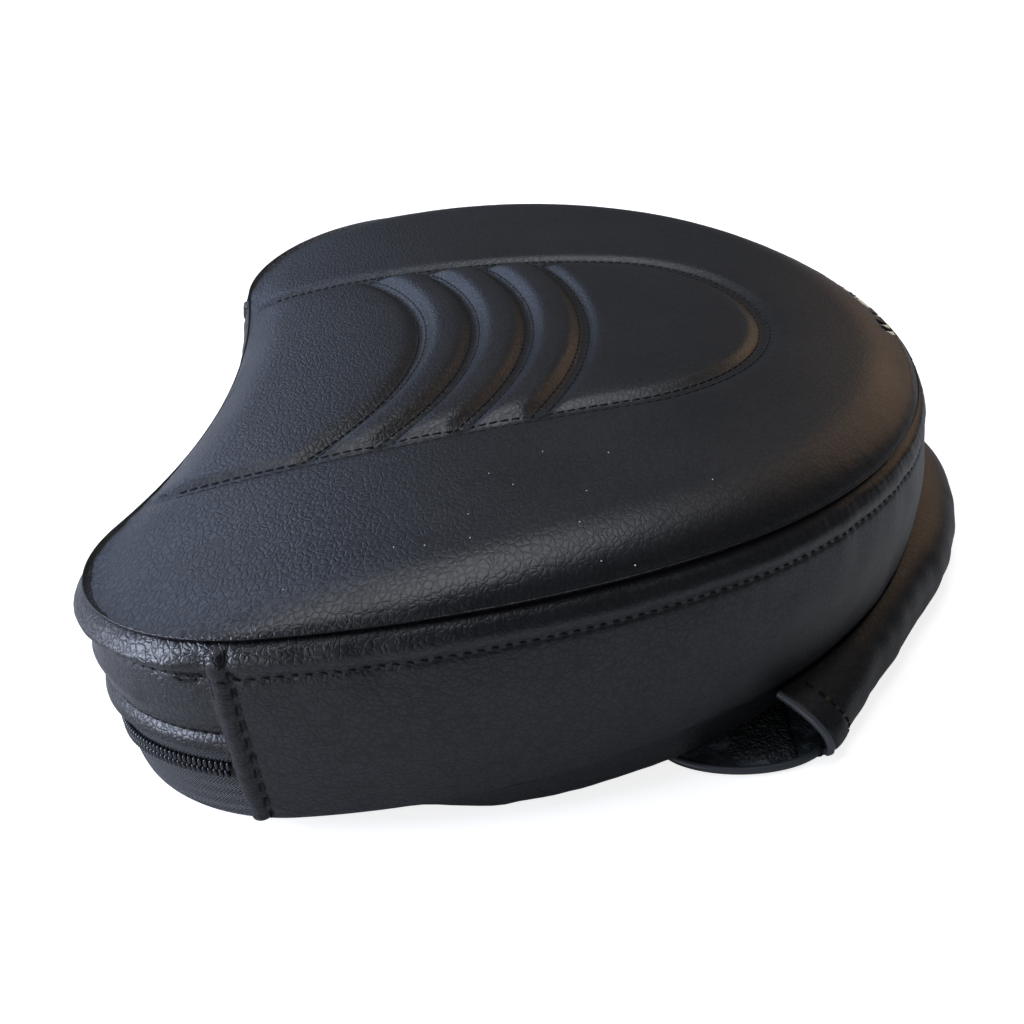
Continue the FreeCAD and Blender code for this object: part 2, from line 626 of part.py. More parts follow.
zip_slider = new_body("zip_slider")
outer_low = "sizes.coil_proud + sizes.run"
outer_high = "sizes.coil_proud + sizes.run + sizes.slider_plate"
inner_high = "-(sizes.skin + sizes.run)"
inner_low = "-(sizes.skin + sizes.run + sizes.slider_plate)"
half_long, half_high = "sizes.slider_length / 2", "sizes.slider_height / 2"
block(zip_slider, "neck", f"{half_long} - sizes.neck_length", half_long, "-sizes.neck / 2",
      "sizes.neck / 2", inner_low, outer_high)
for name, low, high in (("outer_wing", outer_low, outer_high), ("inner_wing", inner_low, inner_high)):
    block(zip_slider, name, f"-{half_long}", half_long, f"-{half_high}", half_high, low, high)
flange_foot = "-(sizes.skin - sizes.tape) + sizes.run"
row_side = "sizes.zip_gap + 2 * sizes.coil_radius + sizes.run"
block(zip_slider, "upper_flange", f"-{half_long}", half_long, row_side, half_high, flange_foot, outer_low)
block(zip_slider, "lower_flange", f"-{half_long}", half_long, f"-{half_high}", f"-({row_side})",
      flange_foot, outer_low)

# the bridge is half a ring that stands on the outer wing
bridge_sketch = new_sketch(zip_slider, "bridge", "XY_Plane")
seat = worked_out(outer_high)
outside, inside = size["bridge_radius"], size["bridge_radius"] - size["slider_plate"]
arcs = [Part.ArcOfCircle(Part.Circle(Vector(0, seat, 0), Vector(0, 0, 1), radius), 0, math.pi)
        for radius in (outside, inside)]
feet = [Part.LineSegment(Vector(start, seat, 0), Vector(end, seat, 0))
        for start, end in ((inside, outside), (-outside, -inside))]
ring_out, ring_in, foot_right, foot_left = [bridge_sketch.addGeometry(part, False) for part in arcs + feet]
for one, one_end, other, other_end in ((ring_in, 1, foot_right, 1), (foot_right, 2, ring_out, 1),
                                       (ring_out, 2, foot_left, 1), (foot_left, 2, ring_in, 2)):
    bridge_sketch.addConstraint(Sketcher.Constraint("Coincident", one, one_end, other, other_end))
bridge_sketch.addConstraint(Sketcher.Constraint("Coincident", ring_in, 3, ring_out, 3))
bridge_sketch.addConstraint(Sketcher.Constraint("PointOnObject", ring_out, 3, -2))
bridge_sketch.addConstraint(Sketcher.Constraint("Horizontal", foot_right))
bridge_sketch.addConstraint(Sketcher.Constraint("Horizontal", ring_out, 1, ring_out, 3))
bridge_sketch.addConstraint(Sketcher.Constraint("Horizontal", foot_left))
bound(bridge_sketch, "outside", Sketcher.Constraint("Radius", ring_out, outside), "sizes.bridge_radius")
bound(bridge_sketch, "inside", Sketcher.Constraint("Radius", ring_in, inside),
      "sizes.bridge_radius - sizes.slider_plate")
bound(bridge_sketch, "seat", Sketcher.Constraint("DistanceY", ring_out, 3, seat), outer_high)
doc.recompute()
pad_feature(zip_slider, bridge_sketch, "sizes.bridge_width", symmetric=True)

# the pull tab hangs on a pin through the bridge and points back along the closed zip
zip_puller = new_body("zip_puller")
pin_place = f"{outer_high} + sizes.pull_pin + 0.75 * sizes.run"
pull_low = f"{pin_place} - sizes.pull_plate / 2"
pull_high = f"{pin_place} + sizes.pull_plate / 2"
leg_side = "sizes.bridge_width / 2 + sizes.run"
leg_out = "sizes.bridge_width / 2 + sizes.run + sizes.pull_plate"
tab_start = "-(sizes.bridge_radius + 2 * sizes.run + sizes.pull_pin)"
pin_sketch = new_sketch(zip_puller, "pin", "XY_Plane")
pin_circle = Part.Circle(Vector(0, worked_out(pin_place), 0), Vector(0, 0, 1), size["pull_pin"])
pin = pin_sketch.addGeometry(pin_circle, False)
pin_sketch.addConstraint(Sketcher.Constraint("PointOnObject", pin, 3, -2))
bound(pin_sketch, "pin_size", Sketcher.Constraint("Radius", pin, size["pull_pin"]), "sizes.pull_pin")
bound(pin_sketch, "pin_height", Sketcher.Constraint("DistanceY", pin, 3, worked_out(pin_place)), pin_place)
doc.recompute()
pad_feature(zip_puller, pin_sketch, f"2 * ({leg_out})", symmetric=True)
legs = (("upper_leg", leg_side, leg_out), ("lower_leg", f"-({leg_out})", f"-({leg_side})"))
for name, bottom, top in legs:
    block(zip_puller, name, tab_start, "0", bottom, top, pull_low, pull_high)
tab = block(zip_puller, "tab", "-sizes.pull_length", tab_start, "-sizes.pull_width / 2",
            "sizes.pull_width / 2", pull_low, pull_high)
tab_corners = edge_names(tab.Shape, lambda box: box.XMax < TOUCHING - size["pull_length"]
                         and box.YLength > TOUCHING and box.ZLength < TOUCHING)
fillet_feature(zip_puller, tab, tab_corners, "sizes.pull_corner")

# Back: puffed panel, board, nuts, foam

def ring_sketch(body, name, inset):
    """Everything round the outline, for trimming a body to it from below."""
    sketch = new_sketch(body, name, "XY_Plane")
    add_outline(sketch, inset)
    doc.recompute()
    far = "2 * sizes.pad_length"
    rectangle(sketch, *[(text, worked_out(text)) for text in (f"-({far})", far, f"-({far})", far)])
    doc.recompute()
    return sketch


def bulge_volume(name, lift):
    """The puffed part of the back: sloping down to the ground, then rising towards the dome."""
    body = new_body(name)
    sketch = new_sketch(body, name + "_side", "XZ_Plane")
    slope = math.radians(size["tilt"])
    up = Vector(math.sin(slope), math.cos(slope), 0)
    raised = worked(lift)
    top = -size["wall_depth"] + size["skin"]
    last_flat = Vector(size["bulge_flat"], -size["wall_depth"] - size["bulge_flat"] * math.tan(slope), 0)
    centre = last_flat + up * size["bulge_radius"]
    radius = size["bulge_radius"] - raised
    flat_end = last_flat + up * raised
    foot_x = size["bulge_foot"] + raised
    foot = Vector(foot_x, flat_end.y + (flat_end.x - foot_x) * math.tan(slope), 0)
    start = Vector(size["bulge_start"] + 2 * raised, top, 0)
    rise_end = Vector(centre.x + math.sqrt(radius**2 - (top - centre.y)**2), top, 0)
    parts = [
        Part.LineSegment(start, foot),
        Part.LineSegment(foot, flat_end),
        arc_between(centre, radius, flat_end, rise_end),
        Part.LineSegment(rise_end, start),
    ]
    g = [sketch.addGeometry(part, False) for part in parts]
    for i in (0, 2, 3):
        sketch.addConstraint(Sketcher.Constraint("Coincident", g[i], 2, g[(i + 1) % 4], 1))
    sketch.addConstraint(Sketcher.Constraint("Tangent", g[1], 2, g[2], 1))
    sketch.addConstraint(Sketcher.Constraint("Horizontal", g[3]))
    higher = written(lift) if lift else "0"
    bound(sketch, "start", Sketcher.Constraint("DistanceX", g[0], 1, start.x),
          f"sizes.bulge_start + 2 * ({higher})")
    bound(sketch, "foot", Sketcher.Constraint("DistanceX", g[0], 2, foot.x),
          f"sizes.bulge_foot + ({higher})")
    bound(sketch, "flat", Sketcher.Constraint("DistanceX", g[2], 1, flat_end.x),
          f"sizes.bulge_flat + ({higher}) * sin(sizes.tilt)")
    bound(sketch, "top", Sketcher.Constraint("DistanceY", g[0], 1, -1, 1, -top),
          "sizes.wall_depth - sizes.skin")
    bound(sketch, "rise", Sketcher.Constraint("Radius", g[2], radius), f"sizes.bulge_radius - ({higher})")
    bound(sketch, "centre_x", Sketcher.Constraint("DistanceX", g[2], 3, centre.x),
          "sizes.bulge_flat + sizes.bulge_radius * sin(sizes.tilt)")
    bound(sketch, "centre_z", Sketcher.Constraint("DistanceY", g[2], 3, centre.y),
          "sizes.bulge_radius * cos(sizes.tilt) - sizes.wall_depth - sizes.bulge_flat * tan(sizes.tilt)")
    doc.recompute()
    pad_feature(body, sketch, "4 * sizes.half_width", symmetric=True)
    trim = f"bulge_inset + {lift}" if lift else "bulge_inset"
    pocket_feature(body, ring_sketch(body, name + "_trim", trim), "8 * sizes.stock")
    return body


outer_bulge = bulge_volume("outer_bulge", "")
inner_bulge = bulge_volume("inner_bulge", "skin")
back_plate = prism("back_plate", "", "wall_depth - skin", "skin")
board_plate = prism("board_plate", "board_inset", "wall_depth - skin - board", "board")


def rods(name, radius, bottom, length):
    """Four upright rods at the nuts, for cutting their holes."""
    made = []
    for i in (0, 1):
        for side in (-1, 1):
            rod = doc.addObject("Part::Cylinder", f"{name}_{2 * i + (side + 1) // 2}")
            rod.setExpression("Radius", written(radius))
            rod.setExpression("Height", written(length))
            rod.setExpression("Placement.Base.x", f"sizes.nut_first + {i} * sizes.nut_step")
            rod.setExpression("Placement.Base.y", f"{side} * sizes.nut_step / 2")
            rod.setExpression("Placement.Base.z", written(bottom))
            made.append(rod)
    doc.recompute()
    return gathered("MultiFuse", name, made)


bolt_holes = rods("bolt_holes", "bolt_hole", "- wall_depth - skin", "skin + skin + skin")
barrel_holes = rods("barrel_holes", "nut_barrel", "- wall_depth", "board + skin + skin")
flange_room = rods("flange_room", "nut_flange", "board + skin - wall_depth", "nut_plate")
end_room = rods("end_room", "bolt_hole", "board + skin - wall_depth", "bolt_room")

bulge_skin = boolean("Cut", "bulge_skin", outer_bulge, inner_bulge)
open_plate = boolean("Cut", "open_plate", back_plate, inner_bulge)
whole_back = gathered("MultiFuse", "whole_back", [open_plate, bulge_skin])
back_cut = boolean("Cut", "back_cut", whole_back, bolt_holes)
board_cut = boolean("Cut", "board_cut", board_plate, barrel_holes)

nut_bodies = []
for i in (0, 1):
    for side in (-1, 1):
        nut = new_body(f"nut_{2 * i + (side + 1) // 2}")
        sketch = new_sketch(nut, nut.Name + "_half", "XZ_Plane")
        low, seat = -size["wall_depth"] + size["skin"], -size["wall_depth"] + size["skin"] + size["board"]
        crown = seat + size["nut_plate"]
        places = [(size["nut_bore"], low), (size["nut_barrel"], low), (size["nut_barrel"], seat),
                  (size["nut_flange"], seat), (size["nut_flange"], crown), (size["nut_bore"], crown)]
        points = [Vector(x, z, 0) for x, z in places]
        g = [sketch.addGeometry(Part.LineSegment(points[k], points[(k + 1) % 6]), False) for k in range(6)]
        for k in range(6):
            sketch.addConstraint(Sketcher.Constraint("Coincident", g[k], 2, g[(k + 1) % 6], 1))
            sketch.addConstraint(Sketcher.Constraint("Vertical" if k % 2 else "Horizontal", g[k]))
        for line, radius in ((g[0], "nut_bore"), (g[2], "nut_barrel"), (g[4], "nut_flange")):
            bound(sketch, radius, Sketcher.Constraint("DistanceX", line, 1, size[radius]), f"sizes.{radius}")
        bound(sketch, "low", Sketcher.Constraint("DistanceY", g[0], 1, -1, 1, -low),
              "sizes.wall_depth - sizes.skin")
        bound(sketch, "seat", Sketcher.Constraint("DistanceY", g[2], 1, -1, 1, -seat),
              "sizes.wall_depth - sizes.skin - sizes.board")
        bound(sketch, "crown", Sketcher.Constraint("DistanceY", g[4], 1, -1, 1, -crown),
              "sizes.wall_depth - sizes.skin - sizes.board - sizes.nut_plate")
        doc.recompute()
        turn = nut.newObject("PartDesign::Revolution", nut.Name + "_turn")
        turn.Profile = sketch
        turn.ReferenceAxis = (plane_of(nut, "Z_Axis"), [""])
        turn.Angle = 360
        nut.setExpression("Placement.Base.x", f"sizes.nut_first + {i} * sizes.nut_step")
        nut.setExpression("Placement.Base.y", f"{side} * sizes.nut_step / 2")
        nut_bodies.append(nut)
doc.recompute()

# Foam with its channel for the slider, its rooms for board and nuts
channel_inner = prism("channel_inner", "skin + slider_plate + run + run + run",
                      "zip_level - slider_height", "slider_height + slider_height")
channel_top = -size["zip_level"] + size["slider_height"] / 2 + size["run"]
channel_slab = box("channel_slab", (-size["stock"], -wide, -deep),
                   (size["near_overlap"], size["far_overlap"], channel_top))
channel_zone = boolean("Cut", "channel_zone", channel_slab, channel_inner)
foam_tools = gathered("MultiFuse", "foam_tools", [channel_zone, board_plate, flange_room, end_room])
foam_less_quilt = boolean("Cut", "foam_less_quilt", core_volume, quilt_cut)
foam_cut = boolean("Cut", "foam_cut", foam_less_quilt, foam_tools)

# Loop strip under the puffed back
loop_volume = bulge_volume("loop_volume", "- strip_skin")
loop_right = size["loop_place"] + size["strip_width"]
loop_zone = box("loop_zone", (size["loop_place"], -size["loop_length"] / 2, -wide),
                (loop_right, size["loop_length"] / 2, -size["wall_depth"]))
loop_skin = boolean("Cut", "loop_skin", loop_volume, outer_bulge)
loop_cut = boolean("Common", "loop_cut", loop_skin, loop_zone)


# The pad leans on the ground at its zip end, its round end raised by the folded flap.
lean = Placement(Vector(0, 0, 0), Rotation(Vector(0, 1, 0), -size["tilt"]))
lean = lean.multiply(Placement(Vector(0, 0, size["wall_depth"]), Rotation()))

# Rear flap: sewn into the back seam round the dome, folded under, its free edge towards the zip end


def flap_round(name, inset):
    """Under the pad's back plane, a round block about the dome's centre with a rolled upper edge."""
    body = new_body(name)
    sketch = new_sketch(body, name + "_half", "XZ_Plane")
    away = f" - ({written(inset)})" if inset else ""
    middle = "sizes.pad_length - sizes.dome_radius"
    revolve_axis(sketch, middle)
    edges = [middle, f"{middle} + sizes.flap_radius{away}", "-3 * sizes.wall_depth",
             f"-sizes.wall_depth{away}"]
    rectangle(sketch, *[(text, worked_out(text)) for text in edges])
    doc.recompute()
    turn = body.newObject("PartDesign::Revolution", name + "_turn")
    turn.Profile = sketch
    turn.ReferenceAxis = (sketch, ["Axis0"])
    turn.Midplane = True
    turn.Angle = 180
    doc.recompute()
    upper = edge_names(turn.Shape, lambda box: box.ZMin > -2 * size["wall_depth"]
                       and box.ZLength < TOUCHING and box.XLength > size["skin"])
    rolled_rim(body, turn, upper, f"sizes.flap_roll{away}")
    body.Placement = lean
    doc.recompute()
    return body


half, thin = size["flap_half"], size["flap_skin"]
flap_block = box("flap_block", (size["flap_end"], -half, 0), (wide, half, deep))
flap_room = box("flap_room", (0, -wide, thin), (wide, wide, deep))
flap_outer = boolean("Common", "flap_outer", flap_round("flap_outer_round", ""), flap_block)
flap_inner = boolean("Common", "flap_inner", flap_round("flap_inner_round", "flap_skin"), flap_room)
flap_sheet = boolean("Cut", "flap_sheet", flap_outer, flap_inner)

# nothing of its upper layer lies under the pad, and its two ends are open
above_floor = box("above_floor", (-wide, -wide, thin + size["flap_slack"]), (wide, wide, deep))
dome_rod = doc.addObject("Part::Cylinder", "dome_rod")
dome_rod.setExpression("Radius", "sizes.dome_radius - sizes.flap_tuck")
dome_rod.setExpression("Height", "4 * sizes.stock")
dome_foot = Vector(size["pad_length"] - size["dome_radius"], 0, -3 * size["stock"])
dome_rod.Placement = lean.multiply(Placement(dome_foot, Rotation()))
under_dome = boolean("Common", "under_dome", dome_rod, above_floor)
flap_tools = [under_dome]
for side in (-1, 1):
    mouth = box(f"mouth_{side + 1}", (0, 0, 0), (wide, wide, wide))
    mouth.setExpression("Placement.Base.x", "(sizes.pad_length - sizes.dome_radius) * cos(sizes.tilt)")
    mouth.setExpression("Placement.Base.z", "sizes.flap_skin + sizes.flap_slack")
    turned_by = size["flap_sweep"] if side > 0 else -90 - size["flap_sweep"]
    mouth.Placement.Rotation = Rotation(Vector(0, 0, 1), turned_by)
    flap_tools.append(mouth)
flap_openings = gathered("MultiFuse", "flap_openings", flap_tools)
flap_cut = boolean("Cut", "flap_cut", flap_sheet, flap_openings)

# Hook strip on the flap's free edge, facing the pad
hook_strip = new_body("hook_strip")
sketch = new_sketch(hook_strip, "hook_plan", "XY_Plane", "flap_skin")
hook_edges = ("sizes.flap_end", "sizes.flap_end + sizes.strip_width", "-sizes.strip_length / 2",
              "sizes.strip_length / 2")
rectangle(sketch, *[(text, worked_out(text)) for text in hook_edges])
doc.recompute()
pad_feature(hook_strip, sketch, "sizes.strip_skin")


# Finished pieces, each with its own place

def finished(name, source):
    piece = doc.addObject("Part::Refine", name)
    piece.Source = source
    return piece


nut_group = doc.addObject("Part::Compound", "threaded_inserts")
nut_group.Links = nut_bodies
tilted = [finished(name, source) for name, source in (
    ("face_panel", front_cut), ("side_band", band_cut), ("zip_end_strip", strip_cut),
    ("zip_tape_upper", upper_tape), ("zip_tape_lower", lower_tape), ("back_panel", back_cut),
    ("backing_board", board_cut), ("foam_core", foam_cut), ("back_foam", inner_bulge),
    ("quilting_foam", quilt_cut), ("loop_strip", loop_cut))]
tilted += [zip_coil_upper, zip_coil_lower, nut_group]
level = [finished("rear_flap", flap_cut), hook_strip]
doc.recompute()

# The frame's middle is the middle of everything.
turn_angle = math.degrees(math.asin(size["slider_place"] / size["end_radius"]))
turned = Rotation(Vector(0, 0, 1), 90 + turn_angle)
to_slider = Rotation(Vector(0, 0, 1), turn_angle).multVec(Vector(size["end_radius"], 0, 0))
slider_spot = end_centre() + to_slider
slider_spot.z = -size["zip_level"]
on_zip = Placement(slider_spot, turned)


def place_all(shift):
    moved = Placement(Vector(shift, 0, 0), Rotation())
    for piece in tilted:
        piece.Placement = moved.multiply(lean)
    for piece in (zip_slider, zip_puller):
        piece.Placement = moved.multiply(lean).multiply(on_zip)
    for piece in level:
        piece.Placement = moved
    doc.recompute()


place_all(0.0)
pieces = tilted + [zip_slider, zip_puller] + level
boxes = [piece.Shape.optimalBoundingBox(True, False) for piece in pieces]
place_all(-(min(b.XMin for b in boxes) + max(b.XMax for b in boxes)) / 2)

failed = [item.Name for item in doc.Objects if "Invalid" in item.State or "Error" in item.State]
if failed:
    raise RuntimeError(f"objects that did not build: {failed}")
os.makedirs("parts", exist_ok=True)
for piece in pieces:
    piece.Label = piece.Name
    if piece.Shape.isNull() or not piece.Shape.isValid():
        raise RuntimeError(f"{piece.Label} has no valid shape")
    piece.Shape.exportStep(f"parts/{piece.Label}.step")
    found = piece.Shape.optimalBoundingBox(True, False)
    print(f"{piece.Label}: {len(piece.Shape.Solids)} solid(s), {piece.Shape.Volume / 1000:.2f} cm3,"
          f" x {found.XMin:.1f} {found.XMax:.1f}, y {found.YMin:.1f} {found.YMax:.1f},"
          f" z {found.ZMin:.2f} {found.ZMax:.2f}")
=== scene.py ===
import math

import bpy
import numpy as np
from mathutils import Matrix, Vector


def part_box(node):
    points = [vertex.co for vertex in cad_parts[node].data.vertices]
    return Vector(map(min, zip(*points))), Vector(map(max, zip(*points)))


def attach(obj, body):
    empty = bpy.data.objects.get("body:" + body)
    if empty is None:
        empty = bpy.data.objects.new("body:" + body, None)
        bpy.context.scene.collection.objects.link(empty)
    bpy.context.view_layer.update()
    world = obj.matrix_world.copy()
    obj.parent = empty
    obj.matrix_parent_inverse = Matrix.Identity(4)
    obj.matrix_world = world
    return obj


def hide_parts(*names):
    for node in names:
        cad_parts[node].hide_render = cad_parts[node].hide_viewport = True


# A motorcycle driver backrest pad in black faux leather, lying on its back on a white table.
# Shapes are worked out in the pad's own frame, in millimetres: X from the hollow zip end to the round end,
# Y across, Z out of the front face, with z = 0 at the top seam on the middle line. s is a place along the
# outline, and a depth goes down the wall from the top seam.

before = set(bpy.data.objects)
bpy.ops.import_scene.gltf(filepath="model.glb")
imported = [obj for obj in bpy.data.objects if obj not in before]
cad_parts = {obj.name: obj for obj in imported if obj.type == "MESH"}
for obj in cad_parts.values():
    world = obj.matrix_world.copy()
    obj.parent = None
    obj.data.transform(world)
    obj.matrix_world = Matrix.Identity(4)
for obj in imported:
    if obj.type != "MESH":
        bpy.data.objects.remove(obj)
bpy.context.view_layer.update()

# How the pad lies: tilted by the folded flap, whose free edge is at FLAP_END
TILT = math.radians(5.6)
FLAP_END = 154.0
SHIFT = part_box("hook_strip")[0].x * 1000 - FLAP_END

# The outline: a dome, two lobes, sides, and the hollow end between the lobes
DOME_X, DOME_RADIUS = 84.0, 139.0
LOBE_X, LOBE_Y, LOBE_RADIUS = 52.5, 94.8, 52.5
SIDE_RADIUS, END_RADIUS = 205.0, 378.0

# The wall's depth, and the radius of the top seam's rise to both sides
WALL = 39.5
SEAM_BOW = 980.0

# Where the side band's folded ends lie over the zip end, and their hem
NEAR_OVERLAP_X, FAR_OVERLAP_Y = 41.4, 84.0
HEM, HEM_PITCH = 4.5, 4.6

# Depths of the two rows of stitches, and their pitch
TOPSTITCH, LOWER_STITCH = 8.1, 24.4
STITCH = 3.0

# The zip's chain below the top seam, and how far it climbs round the near lobe
ZIP_LEVEL, CHAIN_RISE = 33.0, 9.0


def pad_to_row(points):
    """Pad frame in millimetres to the row's frame in metres."""
    x, y, z = np.asarray(points, float).T
    z = z + WALL
    return np.stack([x * math.cos(TILT) - z * math.sin(TILT) + SHIFT, y,
                     x * math.sin(TILT) + z * math.cos(TILT)], 1) / 1000


def level_to_row(points):
    """Level frame of the flap in millimetres to the row's frame in metres."""
    x, y, z = np.asarray(points, float).T
    return np.stack([x + SHIFT, y, z], 1) / 1000


# Noise and soft steps

def lattice(ix, iy, iz, seed):
    """A fixed value from -1 to 1 for each whole-numbered place."""
    n = ix * 374761393 + iy * 668265263 + iz * 2147483647 + seed * 974634777
    n = (n ^ (n >> 13)) * 1274126177
    n = n ^ (n >> 16)
    return (n & 0xFFFF) / 32767.5 - 1


def soft_noise(x, y, z, seed):
    """Smooth value noise from -1 to 1, one lump per unit."""
    x, y, z = np.broadcast_arrays(np.asarray(x, float), np.asarray(y, float), np.asarray(z, float))
    ix, iy, iz = (np.floor(v).astype(np.int64) for v in (x, y, z))
    fx, fy, fz = x - ix, y - iy, z - iz
    fx, fy, fz = (v * v * (3 - 2 * v) for v in (fx, fy, fz))
    total = 0
    for dx in (0, 1):
        for dy in (0, 1):
            for dz in (0, 1):
                share = (fx if dx else 1 - fx) * (fy if dy else 1 - fy) * (fz if dz else 1 - fz)
                total = total + share * lattice(ix + dx, iy + dy, iz + dz, seed)
    return total


def gathers(s, seed, pitch=5.5):
    """Small puckers along a seam, from -1 to 1."""
    return 0.6 * soft_noise(s / pitch, 0, 0, seed) + 0.4 * soft_noise(s / (pitch * 0.45), 3, 0, seed)


def step(value, low, high):
    """0 below low, 1 above high, smooth between them."""
    t = np.clip((value - low) / (high - low), 0, 1)
    return t * t * (3 - 2 * t)


def ridge(value, middle, width):
    """A round ridge over a line, 1 at its top."""
    return np.exp(-((value - middle) / width)**2)


# Outline of the pad: six touching arcs

def outline_arcs():
    """Arcs as (centre x, centre y, radius, first angle, last angle), counter-clockwise."""
    end_x = LOBE_X - math.sqrt((END_RADIUS + LOBE_RADIUS)**2 - LOBE_Y**2)
    apart = math.hypot(DOME_X - LOBE_X, LOBE_Y)
    from_dome, from_lobe = SIDE_RADIUS - DOME_RADIUS, SIDE_RADIUS - LOBE_RADIUS
    along = (from_dome**2 - from_lobe**2 + apart**2) / (2 * apart)
    across = math.sqrt(from_dome**2 - along**2)
    forward_x, forward_y = (LOBE_X - DOME_X) / apart, LOBE_Y / apart
    side_x = DOME_X + forward_x * along - forward_y * across
    side_y = forward_y * along + forward_x * across
    dome_turn = math.atan2(-side_y, DOME_X - side_x)
    lobe_turn = math.atan2(LOBE_Y - side_y, LOBE_X - side_x)
    end_turn = math.asin(LOBE_Y / (END_RADIUS + LOBE_RADIUS))
    return [
        (DOME_X, 0.0, DOME_RADIUS, -dome_turn, dome_turn),
        (side_x, side_y, SIDE_RADIUS, dome_turn, lobe_turn),
        (LOBE_X, LOBE_Y, LOBE_RADIUS, lobe_turn, math.pi + end_turn),
        (end_x, 0.0, END_RADIUS, end_turn, -end_turn),
        (LOBE_X, -LOBE_Y, LOBE_RADIUS, math.pi - end_turn, 2 * math.pi - lobe_turn),
        (side_x, -side_y, SIDE_RADIUS, -lobe_turn, -dome_turn),
    ]


ARCS = outline_arcs()
OUTLINE_STEP = 0.15


def sampled_outline():
    """Place along the outline, point and outward normal, starting at the lowest y."""
    rows = []
    for cx, cy, radius, first, last in ARCS:
        count = max(8, int(abs(last - first) * radius / OUTLINE_STEP))
        turns = np.linspace(first, last, count, endpoint=False)
        side = 1 if last > first else -1
        rows.append(np.stack([cx + radius * np.cos(turns), cy + radius * np.sin(turns),
                              side * np.cos(turns), side * np.sin(turns)], 1))
    rows = np.concatenate(rows)
    rows = np.roll(rows, -int(rows[:, 1].argmin()), axis=0)
    rows = np.concatenate([rows, rows[:1]])
    run = np.concatenate([[0], np.cumsum(np.hypot(*np.diff(rows[:, :2], axis=0).T))])
    return run, rows


RUN, OUTLINE = sampled_outline()
GIRTH = RUN[-1]
HIGH = int(OUTLINE[:, 1].argmax())


def on_outline(s):
    """Point and outward normal at places along the outline."""
    s = np.mod(s, GIRTH)
    return [np.interp(s, RUN, OUTLINE[:, k]) for k in range(4)]


def way(start, end):
    """Distance round the outline from one place to another, counter-clockwise."""
    return np.mod(end - start, GIRTH)


def inside_by(x, y):
    """Distance inwards from the outline."""
    best = np.full(np.shape(x), 1e9)
    for cx, cy, radius, first, last in ARCS:
        turn = np.mod(np.arctan2(y - cy, x - cx) - min(first, last), 2 * math.pi)
        gap = (radius - np.hypot(x - cx, y - cy)) * (1 if last > first else -1)
        best = np.where(turn <= abs(last - first), np.minimum(best, np.abs(gap)), best)
    return best


def nearest_place(chosen, column, value):
    """Among chosen points of the outline, the place whose x or y is nearest to a value."""
    return RUN[chosen][np.abs(OUTLINE[chosen, column] - value).argmin()]


# Places along the outline where the side band's two ends overlap the zip end
near_lobe = (OUTLINE[:, 1] < -LOBE_Y) & (OUTLINE[:, 3] < 0)
NEAR_RUN = nearest_place(near_lobe, 0, NEAR_OVERLAP_X)
far_lobe = (OUTLINE[:, 1] > 60) & (OUTLINE[:, 0] < LOBE_X)
FAR_RUN = nearest_place(far_lobe, 1, FAR_OVERLAP_Y)
BAND_RUN = way(NEAR_RUN, FAR_RUN)

# The topstitch starts a little way round the zip end, beside the near overlap
TOPSTITCH_START = NEAR_RUN - 12


def seam_height(y):
    """The top seam's rise away from the middle line."""
    return y * y / (2 * SEAM_BOW)


# Stitched lines of the front panel: a tongue, and four curved ribs in it by apex and radius
TONGUE_TIP, TONGUE_NOSE, TONGUE_SIDE, TONGUE_FLAT = 180.0, 58.5, 520.0, 10.6
RIBS = [(75.2 + 16.9 * i, 107.5 + 8.6 * i) for i in range(4)]
NOSE_X = TONGUE_TIP - TONGUE_NOSE
SIDE_Y = -math.sqrt((TONGUE_SIDE - TONGUE_NOSE)**2 - (NOSE_X - TONGUE_FLAT)**2)
NOSE_TURN = math.atan2(-SIDE_Y, NOSE_X - TONGUE_FLAT)

# Each line is a channel pressed flat between its two rows of stitches
CHANNEL_HALF, CHANNEL_SHOULDER = 1.2, 2.3
TONGUE_DEPTH, RIB_DEPTH = 1.3, 1.7
TONGUE_ROWS, RIB_ROWS = (-1.4, 1.4), (-1.3, 1.3)

# How high the foam puffs up between the ribs, at the tongue's ends and outside it
RIB_PUFF, ZIP_PUFF, TIP_PUFF, RIM_PUFF = 2.0, 1.5, 1.6, 0.9

# The front's crown, its highest place, its fall lengthways and across, and its rolled edge
CROWN, CROWN_X = 16.2, 118
CROWN_FALL, CROWN_FALL_ACROSS = 0.000884, 0.000357
CROWN_ROLL = 17.2
LUMP, LUMP_SIZE = 0.25, 38


def in_tongue(x, y):
    """Distance inside the tongue's line, negative outside it."""
    y = np.abs(y)
    nose = TONGUE_NOSE - np.hypot(x - NOSE_X, y)
    side = TONGUE_SIDE - np.hypot(x - TONGUE_FLAT, y - SIDE_Y)
    flat = SIDE_Y + TONGUE_SIDE - y
    turn = np.arctan2(y, x - NOSE_X)
    return np.where((turn < NOSE_TURN) & (x > TONGUE_FLAT), nose, np.where(x > TONGUE_FLAT, side, flat))


def past_rib(x, y, rib):
    """Distance beyond a rib's line, towards the dome."""
    apex, radius = RIBS[rib]
    return np.hypot(x - (apex - radius), y) - radius


def trough(gap):
    """A pressed channel, 1 deep."""
    return np.exp(-(np.maximum(np.abs(gap) - CHANNEL_HALF, 0) / CHANNEL_SHOULDER)**2)


def swell(gap, rise, fade):
    """A puff on one side of a channel, steep beside it and fading away from it."""
    gap = np.maximum(gap, 0)
    return (1 - np.exp(-gap / rise)) * np.exp(-gap / fade)


